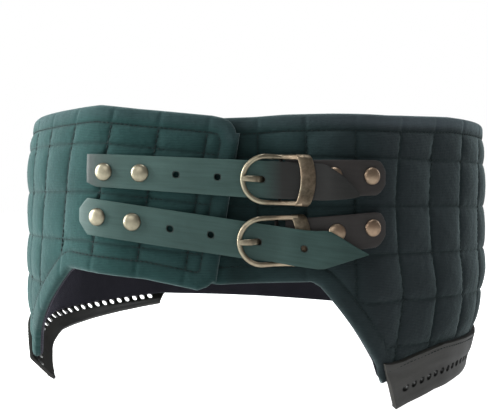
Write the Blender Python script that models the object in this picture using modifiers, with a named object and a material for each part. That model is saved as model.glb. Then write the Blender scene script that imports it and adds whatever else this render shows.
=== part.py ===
"""Quilted hip belt of gambeson cloth, fastened in front by two buckled straps.

The belt keeps the ring form of the wearer's waist, with no wearer in it.
X runs to the right of the front, -Y is the front and Z is up.
The origin is the middle of the ring, at the height of the waist.
A place on the wall is given by three numbers:
    along  the distance round the ring, 0 at the front and rising to the right
    z      the height
    lift   the distance outwards from the seams of the outer cloth
Lengths in the tables are in millimetres, and all others in metres.
"""
import math
from collections import namedtuple

import bmesh
import bpy
import numpy as np
from mathutils import Matrix, Vector

MM = 0.001

# The ring seen from above, at the seams of the outer cloth.
PlanStation = namedtuple("PlanStation", "x y")
PLAN = [
    PlanStation(-20, -141), PlanStation(30, -140.5), PlanStation(75, -132),
    PlanStation(123, -103), PlanStation(161, -72), PlanStation(184, -32),
    PlanStation(187, 12), PlanStation(168, 65), PlanStation(120, 108),
    PlanStation(40, 133), PlanStation(-45, 133), PlanStation(-120, 109),
    PlanStation(-172, 66), PlanStation(-191, 15), PlanStation(-181, -35),
    PlanStation(-156, -88), PlanStation(-112, -132), PlanStation(-70, -140),
]
PLAN_STEPS = 48

# The upper edge. Along is negative on the left of the front.
EdgePoint = namedtuple("EdgePoint", "along z")
TOP_EDGE = [
    EdgePoint(-90, 58.3), EdgePoint(0, 61.3), EdgePoint(20, 62.7), EdgePoint(54, 63.4),
    EdgePoint(100, 63.6), EdgePoint(160, 66), EdgePoint(230, 65.5), EdgePoint(300, 63),
    EdgePoint(525, 62), EdgePoint(740, 66), EdgePoint(800, 70.5), EdgePoint(835, 69.4),
    EdgePoint(870, 68.8), EdgePoint(911, 68.9), EdgePoint(942, 69.6), EdgePoint(973, 66),
    EdgePoint(1023, 61.2), EdgePoint(1030, 59.6), EdgePoint(1035, 57), EdgePoint(1038, 53),
    EdgePoint(1039, 49),
]
# The lower edge: front band, right flap, back band, left flap and front band.
HEM = [
    EdgePoint(-90, -44), EdgePoint(-75, -45), EdgePoint(-48, -50), EdgePoint(-35, -53),
    EdgePoint(-25, -54.5), EdgePoint(0, -53.4), EdgePoint(40, -52.3), EdgePoint(46, -56),
    EdgePoint(99, -116),
    EdgePoint(103, -128), EdgePoint(130, -121.5), EdgePoint(160, -115.5),
    EdgePoint(200, -114.5), EdgePoint(230, -114.5), EdgePoint(260, -110),
    EdgePoint(330, -101), EdgePoint(345, -99.5), EdgePoint(525, -91), EdgePoint(599, -88),
    EdgePoint(616, -87), EdgePoint(741, -95), EdgePoint(791, -110), EdgePoint(814, -123),
    EdgePoint(819, -120), EdgePoint(839, -98), EdgePoint(911, -46), EdgePoint(917, -44),
    EdgePoint(977, -50), EdgePoint(1000, -54.6), EdgePoint(1013, -57.5),
    EdgePoint(1020, -55), EdgePoint(1023, -52),
]
# How far the quilted rows and the seams shift from a level, upright grid.
DriftPoint = namedtuple("DriftPoint", "along rise lean bow")
DRIFT = [
    DriftPoint(-90, 0, 0.0, 0), DriftPoint(60, 0, 0.0, 0), DriftPoint(110, 0, 0.0, 8),
    DriftPoint(200, 0, 0.0, 4), DriftPoint(260, 0, 0.0, 0), DriftPoint(525, 5, 0.0, 0),
    DriftPoint(791, 11, 0.06, 0), DriftPoint(851, 11, 0.16, 0), DriftPoint(936, 10, 0.16, 0),
    DriftPoint(1021, 1, 0.16, 0),
]
BOW_HEIGHT = 55 * MM
BOW_MOST = 9 * MM

# The cloth's panels. A join lies in an upright seam, counted from the first one on the right
# of the front, and None is a free end.
PanelSpec = namedtuple("PanelSpec", "name first_seam last_seam")
PANELS = [
    PanelSpec("quilted_front_right", None, 0), PanelSpec("quilted_hip_right", 0, 4),
    PanelSpec("quilted_side_right", 4, 8), PanelSpec("quilted_back_right", 8, 12),
    PanelSpec("quilted_back_left", 12, 17), PanelSpec("quilted_side_left", 17, 21),
    PanelSpec("quilted_hip_left", 21, 26), PanelSpec("quilted_front_left", 26, None),
]

# Quilting
RIGHT_END = -75 * MM
LEFT_END_BEFORE_FRONT = 18 * MM
FIRST_SEAM_RIGHT = 69 * MM
FIRST_SEAM_LEFT = 40 * MM
SEAM_GAPS = 28
HIDDEN_SEAMS = 4
ROW_PITCH = 33.5 * MM
HIGHEST_ROW = 33 * MM
ROWS = 5
PUFF = 2.6 * MM
RIM_ROLL = 0.5 * MM
CELL_STEPS = ((0.0, 0.0), (0.13, 0.72), (0.5, 1.0), (0.87, 0.72))
INNER_ROW_STEP = 8
ROWS_BELOW = 46 * MM
ROWS_ABOVE = -112 * MM
ROW_SNAP = 3 * MM
RIM_IN = 1.3 * MM
PADDING = 6.0 * MM
EDGE_MARGIN = 17 * MM
EDGE_STITCH = 12 * MM
RIM_BEVEL = 1.6 * MM

# Form of the wall seen from the side: how far it leans in at the top, and curls in where
# the flaps hang.
TopLean = namedtuple("TopLean", "along inset")
TOP_LEANS = [
    TopLean(60, 4), TopLean(160, 1), TopLean(240, 0.5), TopLean(330, 3), TopLean(525, 4),
]
TOP_LEANS_FROM = 20 * MM
TOP_LEANS_SPAN = 45 * MM
CURL_FROM = -50 * MM
CURL_SPAN = 80 * MM
CURL_MOST = 0.88
CURL_RIGHT = 16 * MM
CURL_LEFT = 3 * MM
CURL_POWER = 1.4

# Layers of the front overlap and of the lining.
GAP = 0.3 * MM
LINING = 1.2 * MM
OVERLAP_PUFF_SHARE = 0.3
OVERLAP_PUFF_SPAN = 20 * MM
OVERLAP_ROOM = 0.7 * MM
SINK = PADDING + GAP + LINING + GAP + PUFF * OVERLAP_PUFF_SHARE + OVERLAP_ROOM
SINK_FULL_UNTIL = -12 * MM
SINK_ENDS = 85 * MM
LINING_INSET = 1.2 * MM

# Lacing strips
STRIP_THICK = 2.4 * MM
STRIP_LIFT = 1.0 * MM
STRIP_ON_CLOTH = 12 * MM
HOLE_RADIUS = 2.6 * MM
HOLE_PITCH = 8.0 * MM
HOLE_COUNT = 24
HOLE_SIDES = 8
STRIP_ROWS = 5
StripSpec = namedtuple("StripSpec", "name top_start low_start low_end top_end lean first_hole")
STRIPS = [
    StripSpec("lacing_strip_right", 100, 118, 326, 342, 0.2, 125.0),
    StripSpec("lacing_strip_left", 601, 618, 819, 814, 1.0, 626.5),
]
# How far a strip hangs below the hem, and the height of its holes above its lower edge.
StripDrop = namedtuple("StripDrop", "along drop hole")
STRIP_DROPS = [
    StripDrop(100, 21, 14), StripDrop(118, 24, 14), StripDrop(160, 23.5, 13.5),
    StripDrop(200, 20, 13.2), StripDrop(230, 19.5, 13), StripDrop(326, 10, 8),
    StripDrop(616, 10, 6.8), StripDrop(711, 15, 10.3), StripDrop(821, 19, 10.3),
]
STRIPS_READ_HEM_FROM = 105 * MM
STRIPS_READ_HEM_TO = 813 * MM
STRIP_BENDS_BELOW_HEM = 1 * MM
CUTTER_LENGTH = 12 * MM

# Straps, chapes and buckles
STRAP_HALF = 12.4 * MM
STRAP_THICK = 2.8 * MM
CHAPE_HALF = 12.4 * MM
BAND_STEP = 7.5 * MM
CHAPE_START = 20.5 * MM
FRAME_WIRE = 1.6 * MM
FRAME_LEFT = -8 * MM
FRAME_HALF = 15.4 * MM
FRAME_ROUND = 15.5 * MM
FRAME_LOWERS_FROM = 2 * MM
CENTRE_BAR_AT = 17 * MM
CENTRE_BAR_RADIUS = 1.3 * MM
KEEPER_AT = 31 * MM
KEEPER_HALF = 5 * MM
KEEPER_THICK = 2.0 * MM
PRONG_HOLE_AT = 4.5 * MM
PRONG_HOLE_RADIUS = 2.6 * MM
FRAME_ABOVE_STRAP = 0.7 * MM
BAR_BELOW_STRAP = 0.5 * MM
KEEPER_ABOVE_STRAP = 1.2 * MM
KEEPER_ABOVE_CHAPE = 0.5 * MM
KEEPER_PAST_FRAME = 1.0 * MM
KEEPER_BULGE = 3.8 * MM
RIVET_RADIUS = 6 * MM
RIVET_HEIGHT = 2.2 * MM

# Heights and slopes of the middle lines of a strap, its chape and its buckle, and how far
# the buckle and the strap's hole are moved along.
FasteningSpec = namedtuple(
    "FasteningSpec", "name height slope chape_height chape_slope frame_height frame_slope shift")
UPPER = FasteningSpec("upper", 17.6, -0.045, 18.4, 0.0, 17.6, -0.03, 0.0)
LOWER = FasteningSpec("lower", -24.0, -0.15, -21.9, 0.08, -24.3, 0.03, -2.2)
StrapStation = namedtuple("StrapStation", "along low high")
UPPER_STRAP = [
    StrapStation(-112.5, -0.55, 1.0), StrapStation(-106, -0.78, 1.0),
    StrapStation(-85, -0.83, 1.0), StrapStation(-60, -0.89, 1.0), StrapStation(-35, -0.95, 1.0),
    StrapStation(-18, -0.98, 1.0), StrapStation(-10, -1.0, 1.0), StrapStation(-2, -1.0, 1.0),
    StrapStation(6, -1.0, 1.0), StrapStation(12, -1.0, 1.0), StrapStation(17, -1.0, 1.0),
    StrapStation(24, -1.0, 1.0), StrapStation(33, -1.0, 1.0), StrapStation(44, -1.0, 1.0),
    StrapStation(47, -0.98, 0.93), StrapStation(51, -0.95, 0.73), StrapStation(58.5, -0.88, 0.33),
    StrapStation(63, -0.82, -0.05), StrapStation(68, -0.7, -0.45),
]
LOWER_STRAP = [
    StrapStation(-118.5, -0.35, 0.35), StrapStation(-112, -1.0, 1.0),
    StrapStation(-85, -1.0, 1.0), StrapStation(-60, -1.0, 1.0), StrapStation(-35, -1.0, 1.0),
    StrapStation(-18, -1.0, 1.0), StrapStation(-10, -1.0, 1.0), StrapStation(-2, -1.0, 1.0),
    StrapStation(6, -0.97, 1.0), StrapStation(12, -0.95, 1.0), StrapStation(17, -0.97, 1.0),
    StrapStation(26, -1.0, 1.0), StrapStation(33, -1.0, 1.0), StrapStation(41, -1.0, 1.05),
    StrapStation(45.3, -0.94, 1.12), StrapStation(49, -0.8, 1.14), StrapStation(56, -0.53, 0.88),
    StrapStation(59, -0.42, 0.76), StrapStation(66, -0.15, 0.46), StrapStation(74, 0.14, 0.18),
]
CHAPE_OUTLINE = [
    StrapStation(20.5, -1.0, 1.0), StrapStation(32, -1.0, 1.0), StrapStation(45, -1.0, 1.0),
    StrapStation(58, -1.0, 1.0), StrapStation(70, -0.97, 1.0), StrapStation(82, -0.93, 1.0),
    StrapStation(86, -0.7, 0.9), StrapStation(89, -0.3, 0.4),
]
# Underside of each strap above the wall, in millimetres.
LiftPoint = namedtuple("LiftPoint", "along lift")
UPPER_LIFT = [
    LiftPoint(-120, 3.1), LiftPoint(-16, 3.1), LiftPoint(-4, 2.6), LiftPoint(12, 2.0),
    LiftPoint(17, 1.9), LiftPoint(27, 1.3), LiftPoint(36, 2.0), LiftPoint(41, 2.5),
    LiftPoint(47, 5.6), LiftPoint(52, 6.3), LiftPoint(60, 6.9), LiftPoint(70, 7.0),
]
LOWER_LIFT = [
    LiftPoint(-120, 3.1), LiftPoint(-16, 3.1), LiftPoint(-4, 2.7), LiftPoint(10, 2.3),
    LiftPoint(14.8, 2.7), LiftPoint(20, 3.8), LiftPoint(25, 4.8), LiftPoint(30, 5.0),
    LiftPoint(36, 5.1), LiftPoint(42, 5.5), LiftPoint(52, 6.4), LiftPoint(60, 7.0),
    LiftPoint(76, 7.4),
]
# The prong, from beside the centre bar to past the frame's left bar. Past is the distance
# beyond the strap's hole, and height is above the height that base names.
ProngPoint = namedtuple("ProngPoint", "past base height radius")
PRONG = [
    ProngPoint(-10.5, "bar", 0.0, 1.2), ProngPoint(-4.0, "bar", -0.4, 1.2),
    ProngPoint(-1.0, "bar", 0.1, 1.2), ProngPoint(0.7, "strap", 1.0, 1.2),
    ProngPoint(4.6, "frame", -1.2, 1.2), ProngPoint(8.6, "frame", -0.15, 1.2),
    ProngPoint(10.9, "frame", 0.0, 1.2), ProngPoint(12.5, "frame", 0.0, 1.08),
    ProngPoint(13.3, "frame", -0.1, 0.72),
]
RivetSpec = namedtuple("RivetSpec", "name on along offset")
RIVETS = [
    RivetSpec("rivet_upper_left_1", "upper_strap", -100.6, 0.5),
    RivetSpec("rivet_upper_left_2", "upper_strap", -76.6, 0.6),
    RivetSpec("rivet_lower_left_1", "lower_strap", -105, 0.5),
    RivetSpec("rivet_lower_left_2", "lower_strap", -81.8, 0.7),
    RivetSpec("rivet_upper_right_1", "upper_chape", 52.5, 1.5),
    RivetSpec("rivet_upper_right_2", "upper_chape", 78.3, 1.5),
    RivetSpec("rivet_lower_right_1", "lower_chape", 54.7, 1.0),
    RivetSpec("rivet_lower_right_2", "lower_chape", 79, 1.9),
]

Finish = namedtuple("Finish", "red green blue roughness metallic")
GREEN_CLOTH = Finish(0.012, 0.035, 0.032, 0.9, 0.0)
LINING_CLOTH = Finish(0.022, 0.018, 0.026, 0.9, 0.0)
GREEN_LEATHER = Finish(0.014, 0.026, 0.020, 0.5, 0.0)
BROWN_LEATHER = Finish(0.022, 0.020, 0.019, 0.55, 0.0)
ANTIQUE_BRASS = Finish(0.30, 0.21, 0.13, 0.4, 1.0)


def clear_scene():
    for thing in list(bpy.data.objects):
        bpy.data.objects.remove(thing, do_unlink=True)


def make_collection(name):
    collection = bpy.data.collections.new(name)
    bpy.context.scene.collection.children.link(collection)
    return collection


def make_material(name, finish):
    material = bpy.data.materials.new(name)
    material.use_nodes = True
    shader = material.node_tree.nodes["Principled BSDF"]
    shader.inputs["Base Color"].default_value = (finish.red, finish.green, finish.blue, 1.0)
    shader.inputs["Roughness"].default_value = finish.roughness
    shader.inputs["Metallic"].default_value = finish.metallic
    material.diffuse_color = (finish.red, finish.green, finish.blue, 1.0)
    return material


def smooth_step(value):
    value = np.clip(value, 0.0, 1.0)
    return value * value * (3.0 - 2.0 * value)


def read_table(table, column, along):
    places = [getattr(row, "along") * MM for row in table]
    values = [getattr(row, column) for row in table]
    return np.interp(along, places, values)


def closed_curve(stations, steps):
    """A smooth closed line through the stations, centripetal so it never loops."""
    points = np.array([[row.x, row.y] for row in stations]) * MM
    count = len(points)
    pieces = []
    for i in range(count):
        before, start, end, after = (points[(i + k) % count] for k in (-1, 0, 1, 2))
        first = math.sqrt(np.linalg.norm(start - before))
        middle = math.sqrt(np.linalg.norm(end - start))
        last = math.sqrt(np.linalg.norm(after - end))
        leave = (end - start) - middle * (end - before) / (first + middle)
        leave += middle * (start - before) / first
        arrive = middle * (after - end) / last - middle * (after - start) / (middle + last)
        arrive += end - start
        t = np.linspace(0.0, 1.0, steps, endpoint=False)[:, None]
        piece = (2 * t ** 3 - 3 * t ** 2 + 1) * start + (t ** 3 - 2 * t ** 2 + t) * leave
        piece += (3 * t ** 2 - 2 * t ** 3) * end + (t ** 3 - t ** 2) * arrive
        pieces.append(piece)
    line = np.concatenate(pieces)
    return np.vstack([line, line[:1]])


class Ring:
    """The plan line, read by the distance along it from the front."""

    def __init__(self):
        self.line = closed_curve(PLAN, PLAN_STEPS)
        steps = np.linalg.norm(np.diff(self.line, axis=0), axis=1)
        self.places = np.concatenate([[0.0], np.cumsum(steps)])
        self.length = self.places[-1]
        x, y = self.line[:-1, 0], self.line[:-1, 1]
        nearest = np.where((x < 0.0) & (y < 0.0))[0]
        before = nearest[np.argmax(x[nearest])]
        share = -x[before] / (self.line[before + 1, 0] - x[before])
        self.front = self.places[before] + share * steps[before]

    def position(self, along):
        place = np.mod(along + self.front, self.length)
        x = np.interp(place, self.places, self.line[:, 0])
        y = np.interp(place, self.places, self.line[:, 1])
        return np.stack([x, y], axis=-1)

    def outward(self, along):
        step = 3 * MM
        tangent = self.position(along + step) - self.position(along - step)
        tangent /= np.linalg.norm(tangent, axis=-1, keepdims=True)
        return np.stack([tangent[..., 1], -tangent[..., 0]], axis=-1)


RING = Ring()
LEFT_END = RING.length - LEFT_END_BEFORE_FRONT
SEAM_PITCH = (RING.length - FIRST_SEAM_LEFT - FIRST_SEAM_RIGHT) / SEAM_GAPS


def inset(along, z):
    """How far the wall stands in from the plan line: at the top, and where the flaps curl in."""
    side = smooth_step((np.mod(along, RING.length) / RING.length - 0.35) / 0.3)
    depth = CURL_RIGHT + (CURL_LEFT - CURL_RIGHT) * side
    top = np.clip((z - TOP_LEANS_FROM) / TOP_LEANS_SPAN, 0.0, None) ** 2
    top = top * read_table(TOP_LEANS, "inset", along) * MM
    curl = np.clip((CURL_FROM - z) / CURL_SPAN, 0.0, CURL_MOST) ** CURL_POWER
    return top + depth * curl


def wall_point(along, z, lift):
    along, z, lift = np.broadcast_arrays(along, z, lift)
    out = RING.outward(along) * (lift - inset(along, z))[..., None]
    return np.concatenate([RING.position(along) + out, z[..., None]], axis=-1)


def sink(along):
    """The right front lies under the left one: its cloth is that much lower there."""
    share = (along - SINK_FULL_UNTIL) / (SINK_ENDS - SINK_FULL_UNTIL)
    return -SINK * (1.0 - smooth_step(share))


def drift(along, z):
    """Shift along the ring of a seam that starts upright."""
    lean = read_table(DRIFT, "lean", along) * z
    bow = read_table(DRIFT, "bow", along) * MM * (z / BOW_HEIGHT) ** 2
    return lean + np.clip(bow, 0.0, BOW_MOST)


def edge_heights(columns, table):
    """Height of an edge in each column, which itself leans with the seams."""
    z = read_table(table, "z", columns) * MM
    for _ in range(6):
        z = 0.5 * (z + read_table(table, "z", columns + drift(columns, z)) * MM)
    return z


def cell_lines(starts, pitch):
    """Lines across the quilting, with how far the padding stands up on each."""
    places = []
    puffs = []
    for start in starts:
        for share, puff in CELL_STEPS:
            places.append(start + share * pitch)
            puffs.append(puff)
    return np.array(places), np.array(puffs)


def quilt_columns():
    first = FIRST_SEAM_RIGHT - HIDDEN_SEAMS * SEAM_PITCH
    starts = [first + i * SEAM_PITCH for i in range(SEAM_GAPS + HIDDEN_SEAMS + 1)]
    places, puffs = cell_lines(starts, SEAM_PITCH)
    inside = (places > RIGHT_END + EDGE_STITCH) & (places < LEFT_END - EDGE_STITCH)
    places, puffs = places[inside], puffs[inside]
    right = RIGHT_END + np.array([0.0, RIM_BEVEL, EDGE_STITCH * 0.5, EDGE_STITCH])
    left = LEFT_END - np.array([EDGE_STITCH, EDGE_STITCH * 0.5, RIM_BEVEL, 0.0])
    places = np.concatenate([right, places, left])
    puffs = np.concatenate([np.zeros(4), puffs, np.zeros(4)])
    keep = np.concatenate([[True], np.diff(places) > 1.0 * MM])
    return places[keep], puffs[keep]


def row_levels():
    starts = [HIGHEST_ROW + ROW_PITCH * (1 - i) for i in range(ROWS + 2)]
    places, puffs = cell_lines(starts, -ROW_PITCH)
    inside = (places < ROWS_BELOW) & (places > ROWS_ABOVE)
    return places[inside], puffs[inside]


def wall_levels(columns, levels, top, hem, margin, edge_offsets):
    """Heights of every row in every column. Rows that pass an edge's margin are set on it."""
    rise = read_table(DRIFT, "rise", columns) * MM
    body = levels[:, None] + rise[None, :]
    high = (top - margin)[None, :]
    low = (hem + margin)[None, :]
    body = np.where(body > high - ROW_SNAP, high, body)
    body = np.where(body < low + ROW_SNAP, low, body)
    above = top[None, :] - np.array(edge_offsets)[:, None]
    below = hem[None, :] + np.array(edge_offsets[::-1])[:, None]
    return np.concatenate([above, high, body, low, below])


def object_from_grid(name, outer, inner, material, collection):
    """Closes an outer and an inner grid of points into one body, merging rows that meet."""
    mesh = bpy.data.meshes.new(name)
    build = bmesh.new()
    grids = []
    for grid in (outer, inner):
        grids.append([[build.verts.new(point) for point in row] for row in grid])
    for grid, turned in zip(grids, (False, True)):
        for i in range(len(grid) - 1):
            for j in range(len(grid[0]) - 1):
                corners = [grid[i][j], grid[i + 1][j], grid[i + 1][j + 1], grid[i][j + 1]]
                build.faces.new(corners[::-1] if turned else corners)
    front, back = grids
    for j in range(len(front[0]) - 1):
        build.faces.new([front[0][j], front[0][j + 1], back[0][j + 1], back[0][j]])
        build.faces.new([front[-1][j + 1], front[-1][j], back[-1][j], back[-1][j + 1]])
    for column, turned in ((0, False), (-1, True)):
        side = [row[column] for row in front] + [row[column] for row in reversed(back)]
        build.faces.new(side if turned else side[::-1])
    bmesh.ops.remove_doubles(build, verts=build.verts, dist=0.02 * MM)
    bmesh.ops.triangulate(build, faces=build.faces)
    bmesh.ops.recalc_face_normals(build, faces=build.faces)
    build.to_mesh(mesh)
    build.free()
    mesh.materials.append(material)
    thing = bpy.data.objects.new(name, mesh)
    collection.objects.link(thing)
    mesh.shade_smooth()
    mesh.set_sharp_from_angle(angle=math.radians(40))
    return thing


def split_at_joins(places, puffs):
    """Doubles the column of each join, a gap apart, and tells where each panel starts."""
    starts = [0]
    for spec in PANELS[1:]:
        seam = FIRST_SEAM_RIGHT + spec.first_seam * SEAM_PITCH
        at = int(np.argmin(np.abs(places - seam)))
        places[at] = seam - GAP / 2
        places = np.insert(places, at + 1, seam + GAP / 2)
        puffs = np.insert(puffs, at + 1, 0.0)
        starts.append(at + 1)
    return places, puffs, starts


def make_panels(material, collection):
    """The padded cloth: its quilting is raised outside over a plain inside."""
    columns, column_puffs, starts = split_at_joins(*quilt_columns())
    levels, level_puffs = row_levels()
    top = edge_heights(columns, TOP_EDGE)
    hem = edge_heights(columns, HEM)
    offsets = [0.0, RIM_BEVEL, EDGE_STITCH * 0.5, EDGE_STITCH]
    z = wall_levels(columns, levels, top, hem, EDGE_MARGIN, offsets)
    along = columns[None, :] + drift(columns[None, :], z)
    margin_rows = [0.0] * (len(offsets) + 1)
    row_puffs = np.concatenate([margin_rows, level_puffs, margin_rows])
    puff = PUFF * np.sqrt(np.clip(row_puffs[:, None] * column_puffs[None, :], 0.0, 1.0))
    high = (top - EDGE_MARGIN)[None, :] - RIM_ROLL
    low = (hem + EDGE_MARGIN)[None, :] + RIM_ROLL
    puff = np.where((z < high) & (z > low), puff, 0.0)
    rim = np.zeros_like(puff)
    rim[[0, -1], :] = -RIM_IN
    rim[[2, -3], :] = RIM_ROLL
    rim[[4, -5], :] = PUFF * 0.5 * (column_puffs > 0.0)
    side = np.zeros(len(columns))
    side[[0, -1]] = -RIM_IN
    side[[2, -3]] = RIM_ROLL
    base = sink(columns)
    shown = smooth_step((columns - SINK_FULL_UNTIL) / OVERLAP_PUFF_SPAN)
    share = OVERLAP_PUFF_SHARE + (1.0 - OVERLAP_PUFF_SHARE) * shown
    relief = np.where(rim < 0.0, rim, np.maximum(rim, puff) * share[None, :])
    relief = np.where(side[None, :] < 0.0, np.minimum(relief, side[None, :]), relief)
    quiet = np.concatenate([[True] * 4, [False] * (len(columns) - 8), [True] * 4])
    relief = np.where(quiet[None, :] & (relief > RIM_ROLL), RIM_ROLL, relief)
    outer = wall_point(along, z, base[None, :] + relief)

    inner_levels = levels[::INNER_ROW_STEP]
    inner_z = wall_levels(columns, inner_levels, top, hem, EDGE_MARGIN, [0.0, RIM_BEVEL])
    inner_along = columns[None, :] + drift(columns[None, :], inner_z)
    depth = np.full_like(inner_z, -PADDING)
    depth[[0, -1], :] += RIM_BEVEL
    depth[:, [0, -1]] = -PADDING + RIM_BEVEL
    inner = wall_point(inner_along, inner_z, base[None, :] + depth)
    for spec, first, last in zip(PANELS, starts, starts[1:] + [len(columns)]):
        object_from_grid(spec.name, outer[:, first:last], inner[:, first:last], material, collection)


def make_lining(material, collection):
    """The thin plain cloth inside the padding, just short of its edges."""
    columns, _ = quilt_columns()
    ends = columns[[0, -1]] + np.array([LINING_INSET, -LINING_INSET])
    columns = np.concatenate([ends[:1], columns[3:-2:2], ends[1:]])
    levels, _ = row_levels()
    top = edge_heights(columns, TOP_EDGE) - LINING_INSET
    hem = edge_heights(columns, HEM) + LINING_INSET
    levels = levels[::INNER_ROW_STEP]
    z = wall_levels(columns, levels, top, hem, EDGE_MARGIN - LINING_INSET, [0.0])
    along = columns[None, :] + drift(columns[None, :], z)
    base = sink(columns)[None, :]
    near = wall_point(along, z, base - PADDING - GAP)
    far = wall_point(along, z, base - PADDING - GAP - LINING)
    return object_from_grid("lining", near, far, material, collection)


def strip_hem(along):
    """The lower edge that a strip is sewn to, as it would run on past the flap's corners."""
    return read_table(HEM, "z", np.clip(along, STRIPS_READ_HEM_FROM, STRIPS_READ_HEM_TO)) * MM


def make_strip(spec, material, collection, cutters):
    """A leather strip sewn on a flap's lower edge, leaning in below it, with lacing holes."""
    count = HOLE_COUNT + 3
    across = np.linspace(0.0, 1.0, STRIP_ROWS)[:, None]
    steps = np.linspace(0.0, 1.0, count)[None, :]
    start = (spec.top_start + (spec.low_start - spec.top_start) * across) * MM
    end = (spec.top_end + (spec.low_end - spec.top_end) * across) * MM
    along = start + (end - start) * steps
    hem = strip_hem(along)
    drop = read_table(STRIP_DROPS, "drop", along) * MM
    z = hem + STRIP_ON_CLOTH * (1.0 - across) - drop * across
    lean = spec.lean * np.clip(hem - STRIP_BENDS_BELOW_HEM - z, 0.0, None)
    outer = wall_point(along, z, STRIP_LIFT + STRIP_THICK - lean)
    inner = wall_point(along, z, STRIP_LIFT - lean)
    strip = object_from_grid(spec.name, outer, inner, material, collection)

    places = spec.first_hole * MM + np.arange(HOLE_COUNT) * HOLE_PITCH
    hem = strip_hem(places)
    drop = read_table(STRIP_DROPS, "drop", places) * MM
    height = hem - drop + read_table(STRIP_DROPS, "hole", places) * MM
    lean = spec.lean * np.clip(hem - STRIP_BENDS_BELOW_HEM - height, 0.0, None)
    centres = wall_point(places, height, STRIP_LIFT + STRIP_THICK / 2 - lean)
    build = bmesh.new()
    for centre, out in zip(centres, RING.outward(places)):
        direction = Vector((out[0], out[1], -spec.lean)).normalized()
        turn = direction.to_track_quat("Z", "Y").to_matrix().to_4x4()
        bmesh.ops.create_cone(
            build, cap_ends=True, segments=HOLE_SIDES, radius1=HOLE_RADIUS, radius2=HOLE_RADIUS,
            depth=CUTTER_LENGTH, matrix=Matrix.Translation(Vector(centre)) @ turn)
    cut_with(strip, build, spec.name + "_holes", cutters)
    return strip


def cut_with(thing, build, name, cutters):
    mesh = bpy.data.meshes.new(name)
    build.to_mesh(mesh)
    build.free()
    cutter = bpy.data.objects.new(name, mesh)
    cutter.hide_render = True
    cutter.display_type = "WIRE"
    cutters.objects.link(cutter)
    boolean = thing.modifiers.new(name, "BOOLEAN")
    boolean.operation = "DIFFERENCE"
    boolean.solver = "EXACT"
    boolean.object = cutter


def chape_lift(along):
    """Underside of a chape: just clear of the quilting of the right front."""
    return sink(along) + PUFF + GAP


def strap_middle(spec, along):
    return spec.height * MM + spec.slope * along


def chape_middle(spec, along):
    return spec.chape_height * MM + spec.chape_slope * (along - CHAPE_START)


def frame_place(spec, along, across, lift):
    """A place on a buckle: along its middle line and square to that."""
    place = along + spec.shift * MM - spec.frame_slope * across
    height = spec.frame_height * MM + spec.frame_slope * along + across
    return wall_point(place, height, lift)


def band_places(stations, bends):
    """Every station of a band and every bend of what it lies on, with no long step between."""
    first, last = stations[0].along * MM, stations[-1].along * MM
    marks = [row.along * MM for row in stations] + [row.along * MM for row in bends]
    marks = sorted(mark for mark in set(marks) if first <= mark <= last)
    places = [marks[0]]
    for mark in marks[1:]:
        step = mark - places[-1]
        if step < 1.5 * MM:
            continue
        count = math.ceil(step / BAND_STEP)
        start = places[-1]
        places += [start + step * k / count for k in range(1, count + 1)]
    places[-1] = last
    return np.array(places)


def make_band(name, stations, bends, middle, half, lift, thick, material, collection):
    """A flat leather piece laid on the wall, through stations along its length."""
    along = band_places(stations, bends)
    low = middle(along) + half * read_table(stations, "low", along)
    high = middle(along) + half * read_table(stations, "high", along)
    z = np.stack([high, low])
    under = lift(along)
    outer = wall_point(along[None, :], z, (under + thick)[None, :])
    inner = wall_point(along[None, :], z, under[None, :])
    return object_from_grid(name, outer, inner, material, collection)


def prong_hole(strap, spec, lifts, cutters):
    along = PRONG_HOLE_AT + spec.shift * MM
    centre = frame_place(spec, PRONG_HOLE_AT, 0.0, float(lifts(along)) + STRAP_THICK / 2)
    out = RING.outward(np.array(along))
    turn = Vector((out[0], out[1], 0.0)).to_track_quat("Z", "Y").to_matrix().to_4x4()
    build = bmesh.new()
    bmesh.ops.create_cone(
        build, cap_ends=True, segments=HOLE_SIDES, radius1=PRONG_HOLE_RADIUS,
        radius2=PRONG_HOLE_RADIUS, depth=CUTTER_LENGTH, matrix=Matrix.Translation(Vector(centre)) @ turn)
    cut_with(strap, build, strap.name + "_hole", cutters)


def tube_object(name, points, radii, sides, collection):
    """A wire through points, as a mesh with closed ends."""
    curve = bpy.data.curves.new(name, "CURVE")
    curve.dimensions = "3D"
    curve.bevel_depth = 1.0
    curve.bevel_resolution = (sides - 4) // 2
    curve.use_fill_caps = True
    spline = curve.splines.new("POLY")
    spline.points.add(len(points) - 1)
    for spot, point, radius in zip(spline.points, points, radii):
        spot.co = (*point, 1.0)
        spot.radius = radius
    wire = bpy.data.objects.new(name + "_wire", curve)
    collection.objects.link(wire)
    bpy.context.view_layer.update()
    shown = wire.evaluated_get(bpy.context.evaluated_depsgraph_get())
    mesh = bpy.data.meshes.new_from_object(shown)
    bpy.data.objects.remove(wire, do_unlink=True)
    build = bmesh.new()
    build.from_mesh(mesh)
    bmesh.ops.remove_doubles(build, verts=build.verts, dist=0.01 * MM)
    bmesh.ops.recalc_face_normals(build, faces=build.faces)
    build.to_mesh(mesh)
    build.free()
    mesh.name = name
    thing = bpy.data.objects.new(name, mesh)
    collection.objects.link(thing)
    return thing


def frame_lift(along, left, middle, keeper):
    """The frame's sides bow: over the strap at both ends, down to the bar under it between."""
    places = [FRAME_LOWERS_FROM, CENTRE_BAR_AT, KEEPER_AT]
    weight = np.interp(along, places, [0.0, 1.0, 2.0])
    first = left + (middle - left) * smooth_step(weight)
    return np.where(weight <= 1.0, first, middle + (keeper - middle) * smooth_step(weight - 1.0))


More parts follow.
